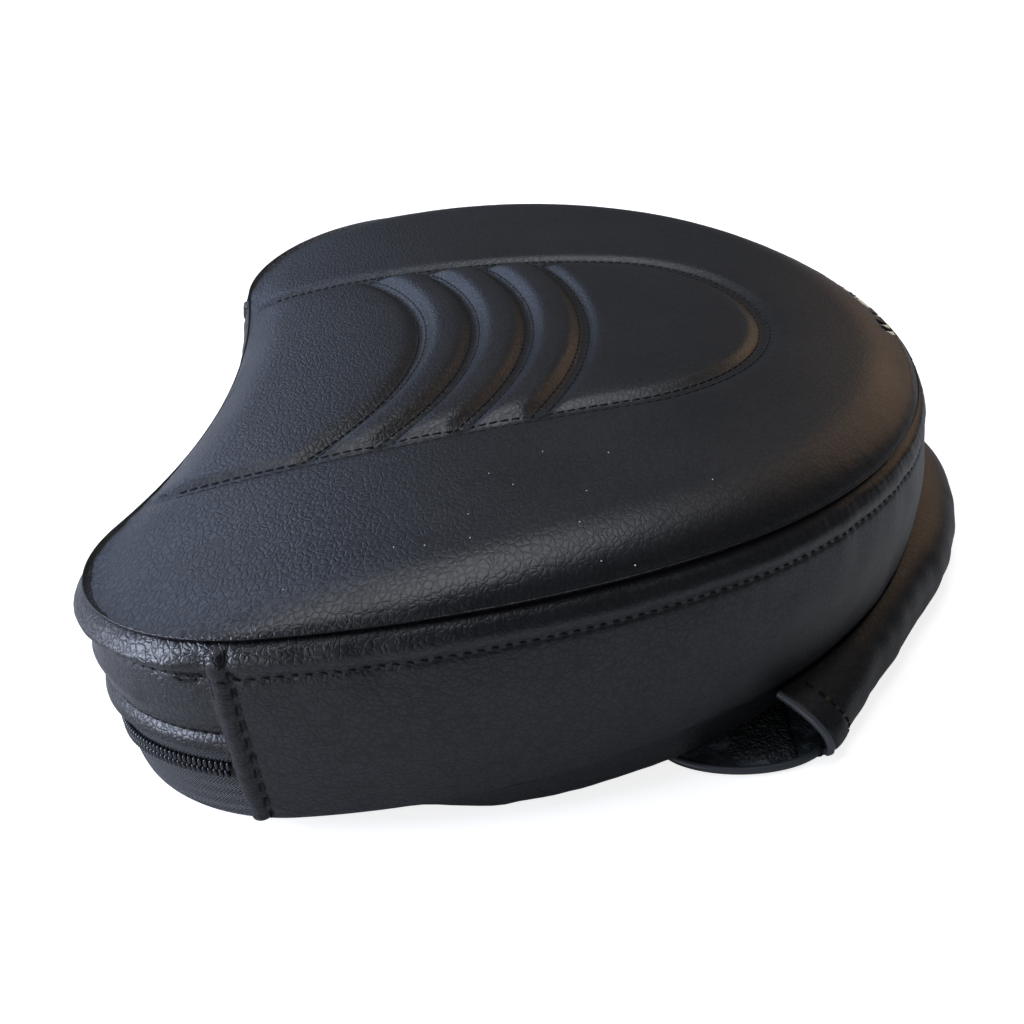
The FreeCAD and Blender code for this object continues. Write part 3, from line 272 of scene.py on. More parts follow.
def quilting(x, y):
    """Relief of the front: puffed foam between pressed channels."""
    tongue = in_tongue(x, y)
    ribs = np.max([trough(past_rib(x, y, i)) for i in range(len(RIBS))], axis=0) * step(tongue, -0.5, 1.5)
    puff = 0
    for i in range(len(RIBS) - 1):
        low, high = past_rib(x, y, i), -past_rib(x, y, i + 1)
        share = np.clip(4 * low * high / np.maximum(low + high, 1)**2, 0, 1) * (low > 0) * (high > 0)
        puff = puff + RIB_PUFF * share**0.7
    puff = puff + ZIP_PUFF * swell(-past_rib(x, y, 0), 9, 42)
    puff = puff + TIP_PUFF * swell(past_rib(x, y, len(RIBS) - 1), 9, 40)
    puff = puff * np.clip(tongue / 9, 0, 1)**0.6 + RIM_PUFF * swell(-tongue, 6, 25)
    return puff - np.maximum(TONGUE_DEPTH * trough(tongue), RIB_DEPTH * ribs)


def face_height(x, y, d):
    """Height of the front panel, d inwards from its seam."""
    roll = np.sqrt(1 - (1 - np.clip(d / CROWN_ROLL, 0, 1))**2.2)
    crown = CROWN - CROWN_FALL * (x - CROWN_X)**2 - CROWN_FALL_ACROSS * y * y
    relief = quilting(x, y) * step(d, 2, 12)
    lumps = LUMP * soft_noise(x / LUMP_SIZE, y / LUMP_SIZE, 0, 3) * step(d, 4, 20)
    return seam_height(y) + crown * roll + relief + lumps


# The wall's cover: belly of the side band and the zip end, pulled in at the back seam
BAND_BELLY, END_BELLY, FOOT_PULL = 1.9, 0.9, 1.3

# The roll between top seam and topstitch, fuller at the near side and on the zip end
ROLL_DEPTH, ROLL_WIDTH = 4.4, 2.3
ROLL, NEAR_ROLL, END_ROLL = 0.5, 0.7, 1.7

# A row of stitches is sunk in a groove
STITCH_SINK, GROOVE = 0.3, 0.9

# The band's hem stands proud, with dents at its stitches and a crease beside it
HEM_PROUD, HEM_DENT, HEM_CREASE = 1.5, 0.45, 0.35

# The zip end's strip is full between its rows of stitches, with a lip below
STRIP_FULL, STRIP_MIDDLE, STRIP_SINK, STRIP_LIP = 1.3, 16.3, 0.7, 0.9


def beside(s, out, depth):
    """Points that far out of the outline, at a depth below the top seam."""
    x, y, nx, ny = on_outline(s)
    return np.stack([x + nx * out, y + ny * out, seam_height(y) - depth], 1)


def wall_depth(s):
    """From top seam to back seam."""
    return WALL + seam_height(on_outline(s)[1])


def chain_level(s):
    """Height of the zip's chain: level along the hollow, rising round the near lobe."""
    return -ZIP_LEVEL + CHAIN_RISE * step(-on_outline(s)[1], 103, 150)


def lip_depth(s):
    """Lower edge of the zip end's strip, a little deeper round the near lobe."""
    return 26.6 + 2.2 * step(-on_outline(s)[1], 60, 130)


def folded_end(run, depth):
    """Relief of a folded end of the side band, by the distance from its edge."""
    arch = np.sqrt(np.clip(np.sin(math.pi * np.clip(run / (HEM + 0.2), 0, 1)), 0, 1))
    fold = arch + 0.2 * step(run, HEM, HEM + 1)
    dent = ridge(run, HEM, 1.3) * np.cos(math.pi * (depth - 2) / HEM_PITCH)**2
    crease = soft_noise(run / 7, depth / 2.1, 0, 16) * np.exp(-np.maximum(run - HEM, 0) / 3)
    return HEM_PROUD * fold - HEM_DENT * dent + 0.3 * crease - HEM_CREASE * ridge(run, HEM + 0.2, 0.8)


def strip_relief(s, depth):
    """Relief of the zip end's strip, with creases along it."""
    creases = 0.34 * soft_noise(s / 15, depth / 2.3, 0, 15) + 0.16 * soft_noise(s / 6, depth / 1.3, 0, 17)
    form = STRIP_FULL * ridge(depth, STRIP_MIDDLE, 5.2) - STRIP_SINK * ridge(depth, LOWER_STITCH, GROOVE)
    lip = STRIP_LIP * step(depth, LOWER_STITCH, LOWER_STITCH + 1.6)
    return form + lip + creases * step(depth, 2, 12)


def wall_out(s, depth):
    """How far the wall stands out of the outline at a depth below the top seam."""
    x, y = on_outline(s)[:2]
    share = depth / wall_depth(s)
    bow = np.sin(math.pi * np.clip(share, 0, 1))
    on_band = way(NEAR_RUN, s) < BAND_RUN
    zip_end = np.where(on_band, 0.0, 1.0) * step(np.minimum(way(s, NEAR_RUN), way(FAR_RUN, s)), 0, 10)
    near_end = step(-y, 40, 120)
    sewn = np.cos(math.pi * (s - TOPSTITCH_START) / STITCH)**2
    out = 0.3 + np.where(on_band, BAND_BELLY, END_BELLY) * bow**0.75 - FOOT_PULL * share**2
    # the sunk topstitch, stitches that pull at the top seam round the dome, and the roll between them
    out = out - STITCH_SINK * (1 + sewn) * ridge(depth, TOPSTITCH, GROOVE)
    out = out - 0.45 * sewn * np.exp(-depth / 1.6) * step(x, 60, 120)
    out = out + (ROLL + NEAR_ROLL * near_end + END_ROLL * zip_end) * ridge(depth, ROLL_DEPTH, ROLL_WIDTH)
    # slack cloth: broad waves, small ones, and puckers at the seam and at the topstitch
    out = out + 0.45 * soft_noise(s / 34, depth / 24, 0, 11) * bow
    out = out + 0.2 * soft_noise(s / 9, depth / 8, 0, 12)
    out = out + 0.34 * gathers(s, 13) * np.exp(-depth / 4.5)
    out = out + 0.24 * gathers(s, 14, 4.0) * np.exp(-np.abs(depth - TOPSTITCH) / 2.8)
    ends = folded_end(way(NEAR_RUN, s), depth) + folded_end(way(s, FAR_RUN), depth)
    return out + np.where(on_band, ends, strip_relief(s, depth))


# Meshes

def new_object(name, vertices, faces, materials, uv=None):
    """A smooth-shaded mesh object, with texture coordinates per vertex where uv gives them."""
    mesh = bpy.data.meshes.new(name)
    mesh.from_pydata(np.asarray(vertices).tolist(), [], [list(map(int, f)) for f in faces])
    for material in materials:
        mesh.materials.append(material)
    mesh.polygons.foreach_set("use_smooth", [True] * len(mesh.polygons))
    if uv is not None:
        layer = mesh.uv_layers.new(name="run_and_depth")
        corners = np.empty(len(mesh.loops), np.int32)
        mesh.loops.foreach_get("vertex_index", corners)
        layer.data.foreach_set("uv", np.asarray(uv, np.float32)[corners].ravel())
    obj = bpy.data.objects.new(name, mesh)
    bpy.context.scene.collection.objects.link(obj)
    return obj


def grid_faces(rows, columns, closed=False, flip=False):
    """Quads of a grid of vertices numbered row by row."""
    r, c = np.meshgrid(np.arange(rows - 1), np.arange(columns if closed else columns - 1), indexing="ij")
    nxt = (c + 1) % columns
    quads = np.stack([r * columns + c, r * columns + nxt, (r + 1) * columns + nxt, (r + 1) * columns + c], -1)
    quads = quads.reshape(-1, 4)
    return quads[:, ::-1] if flip else quads


def plate(rows, columns, edge, levels, height, rim):
    """A grid over the whole outline with rings to its edge. height(x, y, d, s) gives z, levels are the
    rings' distances inwards, and rim lists the rings that tuck into the seam by (outwards, z)."""
    ring = OUTLINE[:, :2] - edge * OUTLINE[:, 2:]
    right_y, right_s, right_x = ring[:HIGH + 1, 1], RUN[:HIGH + 1], ring[:HIGH + 1, 0]
    left_y, left_s, left_x = ring[HIGH:, 1][::-1], RUN[HIGH:][::-1], ring[HIGH:, 0][::-1]
    y = np.sin(np.linspace(-1, 1, rows + 1)[1:-1] * math.pi / 2) * right_y.max()
    left, right = np.interp(y, left_y, left_x), np.interp(y, right_y, right_x)
    t = np.linspace(0, 1, columns + 1)
    gx = left[:, None] * (1 - t) + right[:, None] * t
    gy = np.repeat(y[:, None], columns + 1, axis=1)
    gz = height(gx, gy, inside_by(gx, gy), None)
    points = [np.stack([gx, gy, gz], -1).reshape(-1, 3)]
    faces = [grid_faces(len(y), columns + 1)]
    starts = np.arange(len(y)) * (columns + 1)
    last = np.concatenate([starts + columns, starts[::-1]])
    s = np.concatenate([np.interp(y, right_y, right_s), np.interp(y, left_y, left_s)[::-1]])
    px, py, nx, ny = on_outline(s)
    count = gx.size
    rings = [(-d * np.ones_like(s), None) for d in levels]
    rings += [(np.ones_like(s) * out, z) for out, z in rim]
    for out, z in rings:
        x, yy = px + nx * out, py + ny * out
        zz = height(x, yy, -out, s) if z is None else z(s, yy)
        points.append(np.stack([x, yy, zz], 1))
        here = np.arange(count, count + len(s))
        faces.append(np.stack([last, here, np.roll(here, -1), np.roll(last, -1)], 1))
        last, count = here, count + len(s)
    return np.concatenate(points), np.concatenate(faces)


# Spacing of the wall's columns, finer near the ends of a piece
WALL_PITCH, FINE_PITCH, FINE_RUN = 0.75, 0.5, 11


def wall_strip(name, first, last, rows, material):
    """A piece of wall between two places along the outline. rows are (depth, outwards or None)."""
    whole = float(way(first, last))
    ends = np.arange(0, FINE_RUN, FINE_PITCH)
    middle = np.linspace(FINE_RUN, whole - FINE_RUN, int((whole - 2 * FINE_RUN) / WALL_PITCH))
    s = first + np.concatenate([ends, middle, whole - ends[::-1]])
    full = wall_depth(s)
    points, uv = [], []
    for depth, out in rows:
        deep = depth(s, full) if callable(depth) else np.full(len(s), float(depth))
        points.append(beside(s, wall_out(s, deep) if out is None else out, deep))
        uv.append(np.stack([s, deep], 1))
    faces = grid_faces(len(rows), len(s), flip=True)
    return new_object(name, pad_to_row(np.concatenate(points)), faces, [material], uv=np.concatenate(uv))


# Rings of a rounded rod: place along it and thickness
ROD_RINGS = [(-0.5, 0.35), (-0.36, 0.85), (0.0, 1.0), (0.36, 0.85), (0.5, 0.35)]


def capsules(name, centres, along, up, size, material, sides=6, to_row=pad_to_row):
    """Many small rounded rods, each lying along its own direction. size is (length, width, height)."""
    turns = np.arange(sides) * 2 * math.pi / sides
    length, thick, high = size
    shape = np.array([[a * length, r * thick / 2 * math.cos(t), r * high / 2 * math.sin(t)]
                      for a, r in ROD_RINGS for t in turns])
    centres, along, up = (np.asarray(v, float) for v in (centres, along, up))
    along = along / np.linalg.norm(along, axis=1, keepdims=True)
    up = up - along * (along * up).sum(1, keepdims=True)
    up = up / np.linalg.norm(up, axis=1, keepdims=True)
    across = np.cross(up, along)
    cloud = (centres[:, None] + shape[None, :, :1] * along[:, None] + shape[None, :, 1:2] * across[:, None]
             + shape[None, :, 2:] * up[:, None])
    body = grid_faces(len(ROD_RINGS), sides, closed=True)
    last_ring = (len(ROD_RINGS) - 1) * sides
    caps = [list(range(sides))[::-1], list(range(last_ring, last_ring + sides))]
    faces = []
    for i in range(len(centres)):
        faces += (body + i * len(shape)).tolist()
        faces += [[v + i * len(shape) for v in cap] for cap in caps]
    return new_object(name, to_row(cloud.reshape(-1, 3)), faces, [material])


# Materials

def linear(code):
    """sRGB hex to linear colour."""
    parts = [int(code[i:i + 2], 16) / 255 for i in (1, 3, 5)]
    return tuple(c / 12.92 if c <= 0.04045 else ((c + 0.055) / 1.055)**2.4 for c in parts) + (1.0,)


def shader(name):
    """A material with one shader, which its nodes lead to."""
    material = bpy.data.materials.new(name)
    material.use_nodes = True
    tree = material.node_tree
    tree.nodes.clear()
    bsdf = node(tree, "BsdfPrincipled")
    node(tree, "OutputMaterial", {0: bsdf.outputs[0]})
    return material, tree, bsdf


def fill(tree, made, values):
    """Sets or links a node's inputs."""
    for key, value in values.items():
        if isinstance(value, bpy.types.NodeSocket):
            tree.links.new(value, made.inputs[key])
        else:
            made.inputs[key].default_value = value


def node(tree, kind, values=None, **settings):
    """Adds a node with its properties and its inputs."""
    made = tree.nodes.new("ShaderNode" + kind)
    for key, value in settings.items():
        setattr(made, key, value)
    fill(tree, made, values or {})
    return made


def arithmetic(tree, operation, a, b=0.0):
    """One step of arithmetic between nodes."""
    return node(tree, "Math", {0: a, 1: b}, operation=operation).outputs[0]


def ranged(tree, value, source=(0.0, 1.0), target=(0.0, 1.0), interpolation="LINEAR"):
    """A value moved from one range to another."""
    values = {"Value": value, "From Min": source[0], "From Max": source[1], "To Min": target[0],
              "To Max": target[1]}
    return node(tree, "MapRange", values, interpolation_type=interpolation).outputs[0]


def noise(tree, place, scale, detail=3.0):
    """Mottled noise with this many lumps to a unit."""
    return node(tree, "TexNoise", {"Vector": place, "Scale": scale, "Detail": detail}).outputs["Fac"]


def pressed(tree, height, strength, distance):
    """The surface's direction where a height is pressed into it, this deep in metres."""
    return node(tree, "Bump", {"Height": height, "Strength": strength, "Distance": distance}).outputs[0]


# Grain of the faux leather, in lumps per metre: pebbles, longer creases, pores, and broad dull patches
PEBBLES, LONG_CREASES, PORES, PATCHES = 640.0, 300.0, 1900.0, 26.0

WANDER, WANDER_SCALE, GRAIN_DEPTH = 0.0017, 330.0, 0.0002
# It is strongest at the zip end and faintest at the round end
GRAIN_ENDS, GRAIN_STRENGTH = (-0.1, 0.04), (0.55, 0.16)


def vinyl(name, colour, roughness):
    """Faux leather: pebbles between fine creases."""
    material, tree, bsdf = shader(name)
    place = node(tree, "TexCoord").outputs["Object"]
    wander = node(tree, "TexNoise", {"Vector": place, "Scale": WANDER_SCALE, "Detail": 3.0})
    shifted = node(tree, "VectorMath", {0: wander.outputs["Color"], 1: (0.5, 0.5, 0.5)}, operation="SUBTRACT")
    shifted = node(tree, "VectorMath", {0: shifted.outputs[0], "Scale": WANDER}, operation="SCALE")
    bent = node(tree, "VectorMath", {0: place, 1: shifted.outputs[0]}, operation="ADD").outputs[0]

    def from_edge(stretch, turn, scale):
        """Distance to the nearest edge of stretched and turned cells."""
        turned = node(tree, "Mapping", {"Vector": bent, "Scale": stretch, "Rotation": (0, 0, turn)})
        return node(tree, "TexVoronoi", {"Vector": turned.outputs[0], "Scale": scale},
                    feature="DISTANCE_TO_EDGE").outputs["Distance"]

    cells = from_edge((1.0, 0.62, 1.0), 0.5, PEBBLES)
    lines = ranged(tree, cells, (0.0, 0.16), interpolation="SMOOTHSTEP")
    pebbles = ranged(tree, cells, (0.0, 0.45), interpolation="SMOOTHSTEP")
    creases = from_edge((0.5, 1.0, 0.8), -0.35, LONG_CREASES)
    creases = ranged(tree, creases, (0.0, 0.07), interpolation="SMOOTHSTEP")
    height = arithmetic(tree, "MULTIPLY", lines, 0.55)
    for lump, share in ((pebbles, 0.4), (creases, 0.35), (noise(tree, place, PORES), 0.25)):
        height = arithmetic(tree, "ADD", height, arithmetic(tree, "MULTIPLY", lump, share))
    across = node(tree, "SeparateXYZ", {0: place})
    worn = ranged(tree, across.outputs["X"], GRAIN_ENDS, GRAIN_STRENGTH, "SMOOTHSTEP")
    patches = noise(tree, place, PATCHES, 2.0)
    dull = ranged(tree, patches, (0.3, 0.7), (roughness - 0.05, roughness + 0.05))
    shine = ranged(tree, arithmetic(tree, "MULTIPLY", lines, creases), target=(0.38, 0.5))
    fill(tree, bsdf, {"Base Color": linear(colour), "Roughness": dull, "Specular IOR Level": shine,
                      "Normal": pressed(tree, height, worn, GRAIN_DEPTH)})
    return material


# Zip tape's weave in millimetres: the width of a herringbone row and the distance between threads
HERRINGBONE, THREAD_PITCH = 1.5, 1.05


def tape_cloth(name, colour):
    """Zip tape: a herringbone weave that follows the zip."""
    material, tree, bsdf = shader(name)
    uv = node(tree, "UVMap", uv_map="run_and_depth").outputs[0]
    split = node(tree, "SeparateXYZ", {0: uv})
    zigzag = arithmetic(tree, "PINGPONG", split.outputs["Y"], HERRINGBONE)
    slant = arithmetic(tree, "ADD", split.outputs["X"], arithmetic(tree, "MULTIPLY", zigzag, 1.3))
    threads = arithmetic(tree, "SINE", arithmetic(tree, "MULTIPLY", slant, 2 * math.pi / THREAD_PITCH))
    height = arithmetic(tree, "ADD", threads, noise(tree, uv, 3.2))
    fill(tree, bsdf, {"Base Color": linear(colour), "Roughness": 0.75, "Sheen Weight": 0.15,
                      "Normal": pressed(tree, height, 0.7, 0.00016)})
    return material


def knit(name, dark, light):
    """Knitted cloth, mottled in two colours."""
    material, tree, bsdf = shader(name)
    place = node(tree, "TexCoord").outputs["Object"]
    patches = node(tree, "TexNoise", {"Vector": place, "Scale": 210.0, "Detail": 4.0, "Roughness": 0.65})
    loops = node(tree, "TexVoronoi", {"Vector": place, "Scale": 1300.0})
    share = ranged(tree, patches.outputs["Fac"], (0.48, 0.68))
    mix = node(tree, "Mix", {"Factor": share, "A": linear(dark), "B": linear(light)}, data_type="RGBA")
    fill(tree, bsdf, {"Base Color": mix.outputs["Result"], "Roughness": 0.9,
                      "Normal": pressed(tree, loops.outputs["Distance"], 0.8, 0.0003)})
    return material


def bristle(name, colour):
    """A dense pile of bristles."""
    material, tree, bsdf = shader(name)
    place = node(tree, "TexCoord").outputs["Object"]
    tufts = node(tree, "TexVoronoi", {"Vector": place, "Scale": 950.0})
    height = arithmetic(tree, "ADD", tufts.outputs["Distance"], noise(tree, place, 300.0))
    fill(tree, bsdf, {"Base Color": linear(colour), "Roughness": 0.65,
                      "Normal": pressed(tree, height, 1.0, 0.0009)})
    return material


def plain(name, colour, roughness, metallic=0.0, bumps=0.0, scale=900.0):
    """An even finish, with fine bumps where bumps gives their strength."""
    material, tree, bsdf = shader(name)
    fill(tree, bsdf, {"Base Color": linear(colour), "Roughness": roughness, "Metallic": metallic})
    if bumps:
        place = node(tree, "TexCoord").outputs["Object"]
        fill(tree, bsdf, {"Normal": pressed(tree, noise(tree, place, scale), bumps, 0.0003)})
    return material


# Faux leather of the cover: near-black, softly shining, with a fine pebble grain
BLACK_VINYL = vinyl("black_faux_leather", "#0e0e10", 0.4)
# The same black sheet round the fold of the hems, painted greyer and smooth as a painted sheen along the
# rolled edge
PAINTED_SHEEN_EDGE = plain("folded_vinyl_edge_painted_sheen", "#3c4043", 0.4)
# Polyester tape of the zip: matt black herringbone with a faint sheen
TAPE = tape_cloth("zip_tape_cloth", "#101012")
# Nylon coil: dark grey with a sharp highlight on every turn
COIL = plain("zip_coil_nylon", "#26262a", 0.22)
# Polyester thread: dull black, darker than the cover that it sinks into
THREAD = plain("sewing_thread", "#040405", 0.9, bumps=0.4, scale=3500.0)
# Knitted back of the faux leather: mottled blue-grey where the flap folds over
LINING = knit("knitted_lining", "#141a1c", "#4c575d")
# Nylon hooks: a dense, stiff pile that catches a little light
HOOKS = bristle("hook_strip_nylon", "#1b2021")
# Nylon loops: the softer, darker half of the fastening
LOOPS = bristle("loop_strip_nylon", "#101011")
# Enamelled zinc of the slider and its pull tab: smooth satin black
BLACK_METAL = plain("black_enamelled_zinc", "#101011", 0.35, metallic=0.3)
# Dust: pale matt specks
DUST = plain("dust", "#a4a4a0", 0.9)
# Plywood of the backing board: light brown and matt
PLYWOOD = plain("plywood", "#c7a06a", 0.7, bumps=0.3)
# Zinc-plated steel of the nuts: bright grey metal
ZINC = plain("zinc_plated_steel", "#b9bab6", 0.35, metallic=1.0)
# Open-cell foam: cream, dry and porous
FOAM = plain("open_cell_foam", "#d8cfb4", 0.95, bumps=0.6, scale=700.0)

# Front panel. Panels are a grid up to PANEL_EDGE from their seam, then rings along it
PANEL_EDGE = 10.0
FACE_RINGS = [8.6, 7.3, 6.1, 5.0, 4.0, 3.1, 2.3, 1.6, 1.05, 0.6, 0.3, 0.1]
FACE_TUCK = [(0.0, 1.35), (-0.3, 0.75), (-1.0, 0.25), (-2.6, 0.0)]


def front(x, y, d, s):
    """Height of the front panel, gathered along its seam."""
    z = face_height(x, y, d)
    if s is not None:
        z = z + 0.3 * gathers(s, 21) * np.exp(-d / 3.5) * step(d, 0.0, 1.0)
    return z


tuck = [(out, lambda s, y, above=above: seam_height(y) + above) for out, above in FACE_TUCK]
points, faces = plate(330, 180, PANEL_EDGE, FACE_RINGS, front, tuck)
face_cover = new_object("face_cover", pad_to_row(points), faces, [BLACK_VINYL])
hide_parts("face_panel")

# the cover stays just outside the foam along its rolled edge, clear of the tongue's channel
held = face_cover.vertex_groups.new(name="over_foam")
depth_in = inside_by(points[:, 0], points[:, 1])
near_rim = (depth_in > 0.8) & (depth_in < 15) & (points[:, 2] > seam_height(points[:, 1]) + 1.5)
near_rim &= (in_tongue(points[:, 0], points[:, 1]) < -3) | (depth_in < 7)
held.add(np.flatnonzero(near_rim).tolist(), 1.0, "REPLACE")
for foam in ("foam_core", "quilting_foam"):
    over = face_cover.modifiers.new("lies_over_" + foam, "SHRINKWRAP")
    over.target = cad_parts[foam]
    over.wrap_method = "NEAREST_SURFACEPOINT"
    over.wrap_mode = "OUTSIDE"
    over.offset = 0.0004
    over.vertex_group = "over_foam"

# Side band, from the near overlap round the dome to the far overlap, in rows from the top seam down
SEAM_ROWS = [(-0.15, -2.6), (0.1, -1.2), (0.5, -0.35), (1.0, 0.25)]
ROLL_ROWS = [(d, None) for d in (1.5, 2.0, 2.6, 3.3, 4.2, 5.1, 6.0, 6.8, 7.4, 7.9, 8.3, 8.6, 8.9, 9.3, 9.8,
                                 10.5, 11.4, 12.5)]
ROLL_END = 12.5


def above_foot(distance):
    """A depth that far above the back seam."""
    return lambda s, full: full - distance


belly_rows = [((lambda s, full, k=k: ROLL_END + (full - 14.7) * k), None) for k in np.linspace(0.03, 1, 32)]
foot_rows = [(above_foot(1.3), None), (above_foot(0.7), -1.1), (above_foot(0.3), -2.2)]
side_rows = SEAM_ROWS + ROLL_ROWS + belly_rows + foot_rows
side_cover = wall_strip("side_cover", NEAR_RUN, FAR_RUN, side_rows, BLACK_VINYL)
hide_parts("side_band")

# Zip end: a strip folded under at its lower edge, two tapes that meet at the chain, and two rows of coil,
# all going a little way under the side band
ZIP_FIRST, ZIP_LAST = FAR_RUN - 1.0, NEAR_RUN + 1.0
STRIP_DEPTHS = [*np.linspace(13.1, 22.2, 14), *np.linspace(22.8, 25.3, 6)]
LIP_ROWS = ((-1.0, 2.1), (-0.4, 1.8), (-0.05, 1.2), (0.1, 0.6), (0.0, 0.0), (-0.5, -0.9))
LOWER_TAPE_OUTS = (-0.75, -0.85, -0.85, -0.75, -0.7, -0.7, -0.75, -0.9, -1.3)


def at_lip(beyond):
    """A depth that far past the strip's lower edge."""
    return lambda s, full: lip_depth(s) + beyond


def between(share, low, high):
    """A depth between two levels, each a function of the place and the wall's depth."""
    return lambda s, full: low(s, full) * (1 - share) + high(s, full) * share


def chain_depth(s, full=None):
    """Depth of the zip's chain."""
    return seam_height(on_outline(s)[1]) - chain_level(s)


strip_rows = SEAM_ROWS + ROLL_ROWS + [(d, None) for d in STRIP_DEPTHS]
strip_rows += [(at_lip(beyond), out) for beyond, out in LIP_ROWS]
zip_strip = wall_strip("zip_strip", ZIP_FIRST, ZIP_LAST, strip_rows, BLACK_VINYL)
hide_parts("zip_end_strip")

upper_rows = [(between(k, at_lip(-1.5), chain_depth), -1.1 + 0.35 * k) for k in np.linspace(0, 1, 7)]
upper_tape = wall_strip("upper_tape", ZIP_FIRST, ZIP_LAST, upper_rows, TAPE)
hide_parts("zip_tape_upper")
lower_rows = [(between(k, chain_depth, above_foot(0.05)), out)
              for k, out in zip(np.linspace(0, 1, len(LOWER_TAPE_OUTS)), LOWER_TAPE_OUTS)]
lower_tape = wall_strip("lower_tape", ZIP_FIRST, ZIP_LAST, lower_rows, TAPE)
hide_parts("zip_tape_lower")

# Coil turns: pitch, distance from the chain's line, slant and size
COIL_PITCH, COIL_OFFSET, COIL_SLANT = 1.5, 1.1, 0.16
COIL_TURN = (2.3, 1.05, 1.6)
COIL_END = 0.8


def zip_row(name, side):
    """Slanted coil turns of one row, half a pitch from the other row's."""
    run = way(FAR_RUN, NEAR_RUN) - 2 * COIL_END
    half_pitch = COIL_PITCH / 2 if side > 0 else 0
    s = FAR_RUN + COIL_END + np.arange(int(run / COIL_PITCH)) * COIL_PITCH + half_pitch
    nx, ny = on_outline(s)[2:]
    slope = chain_level(s + 0.5) - chain_level(s - 0.5)
    centres = beside(s, 0.1, chain_depth(s) - side * COIL_OFFSET)
    tangent = np.stack([-ny, nx, 0 * nx], 1)
    upright = np.stack([0 * nx, 0 * nx, np.full_like(nx, float(side))], 1)
    lean = upright + (COIL_SLANT - side * slope[:, None]) * tangent
    out = np.stack([nx, ny, 0 * nx], 1)
    return capsules(name, centres, lean, out, COIL_TURN, COIL, sides=8)


upper_coil = zip_row("upper_coil", 1)
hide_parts("zip_coil_upper")
lower_coil = zip_row("lower_coil", -1)
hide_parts("zip_coil_lower")

# Stitches: length, width and height of each kind
TOP_THREAD, LOWER_THREAD = (1.95, 0.62, 0.6), (2.2, 0.62, 0.6)
HEM_THREAD, TACK_THREAD = (3.3, 0.65, 0.6), (2.6, 0.7, 0.7)
FACE_THREAD, FLAP_THREAD = (2.3, 0.55, 0.5), (2.2, 0.6, 0.6)


def sewn(name, s, depth, ahead, out, thread):
    """Stitches on the wall at each place and depth, lying along a small (place, depth) step ahead."""
    centre = beside(s, wall_out(s, depth) + out, depth)
    s_after, depth_after = s + ahead[0], depth + ahead[1]
    after = beside(s_after, wall_out(s_after, depth_after) + out, depth_after)
    nx, ny = on_outline(s)[2:]
    return capsules(name, centre, after - centre, np.stack([nx, ny, 0 * nx], 1), thread, THREAD)


def wall_stitches(name, first, run, depth, thread):
    """A row of stitches along the wall."""
    s = np.arange(first, first + run, STITCH)
    return sewn(name, s, np.full(len(s), depth), (0.5, 0.06), 0.12, thread)


def hem_stitches(name, place, sign):
    """A row down the folded end of the side band."""
    depth = np.arange(2.0, wall_depth(place) - 2, HEM_PITCH)
    return sewn(name, np.full(len(depth), place + sign * (HEM - 0.1)), depth, (0, 0.5), 0.1, HEM_THREAD)


topstitch = wall_stitches("topstitch", TOPSTITCH_START, GIRTH - 1, TOPSTITCH, TOP_THREAD)
lower_topstitch = wall_stitches("lower_topstitch", FAR_RUN + 2, way(FAR_RUN + 2, NEAR_RUN - 1.5),
                                LOWER_STITCH, LOWER_THREAD)
near_hem_stitches = hem_stitches("near_hem_stitches", NEAR_RUN, 1)
far_hem_stitches = hem_stitches("far_hem_stitches", FAR_RUN, -1)

# the doubled stitches where the topstitch starts again beside the near overlap
back_tack = sewn("back_tack", NEAR_RUN - 4.5 - np.arange(3) * 1.9, TOPSTITCH + np.array([0.9, 1.3, 1.0]),
                 (0.5, np.array([-0.1, -0.1, 0.05])), 0.15, TACK_THREAD)


def face_stitches(name, line):
    """Stitches along a line on the front panel. line is a dense list of points."""
    line = np.asarray(line, float)
    run = np.concatenate([[0], np.cumsum(np.hypot(*np.diff(line, axis=0).T))])
    at = np.arange(STITCH / 2, run[-1] - STITCH / 3, STITCH)

    def point(r):
        x, y = np.interp(r, run, line[:, 0]), np.interp(r, run, line[:, 1])
        return np.stack([x, y, face_height(x, y, inside_by(x, y)) + 0.12], 1)

    centre, ahead = point(at), point(at + 0.4)
    up = np.stack([0 * at, 0 * at, 1 + 0 * at], 1)
    return capsules(name, centre, ahead - centre, up, FACE_THREAD, THREAD)


def tongue_line(shift):
    """The tongue's line, moved outwards: one side to its tip, then mirrored back."""
    nose_radius, side_radius = TONGUE_NOSE + shift, TONGUE_SIDE + shift
    turns = np.linspace(math.pi / 2, NOSE_TURN, 240)
    side = np.stack([TONGUE_FLAT + side_radius * np.cos(turns), SIDE_Y + side_radius * np.sin(turns)], 1)
    turns = np.linspace(NOSE_TURN, 0, 160)
    nose = np.stack([NOSE_X + nose_radius * np.cos(turns), nose_radius * np.sin(turns)], 1)
    half = np.concatenate([side, nose[1:]])
    half = half[half[:, 0] > TONGUE_FLAT + 3]
    return np.concatenate([half, half[::-1][1:] * [1, -1]])


def rib_line(rib, shift):
    """A rib's line, moved towards the dome, inside the tongue."""
    apex, radius = RIBS[rib]
    turns = np.linspace(-1.1, 1.1, 900)
    x = apex - radius + (radius + shift) * np.cos(turns)
    y = (radius + shift) * np.sin(turns)
    return np.stack([x, y], 1)[in_tongue(x, y) > 1.0]


tongue_stitches = [face_stitches(f"tongue_stitches_{k}", tongue_line(shift))
                   for k, shift in enumerate(TONGUE_ROWS)]
rib_stitches = [face_stitches(f"rib_{i}_stitches_{k}", rib_line(i, shift))
                for i in range(len(RIBS)) for k, shift in enumerate(RIB_ROWS)]

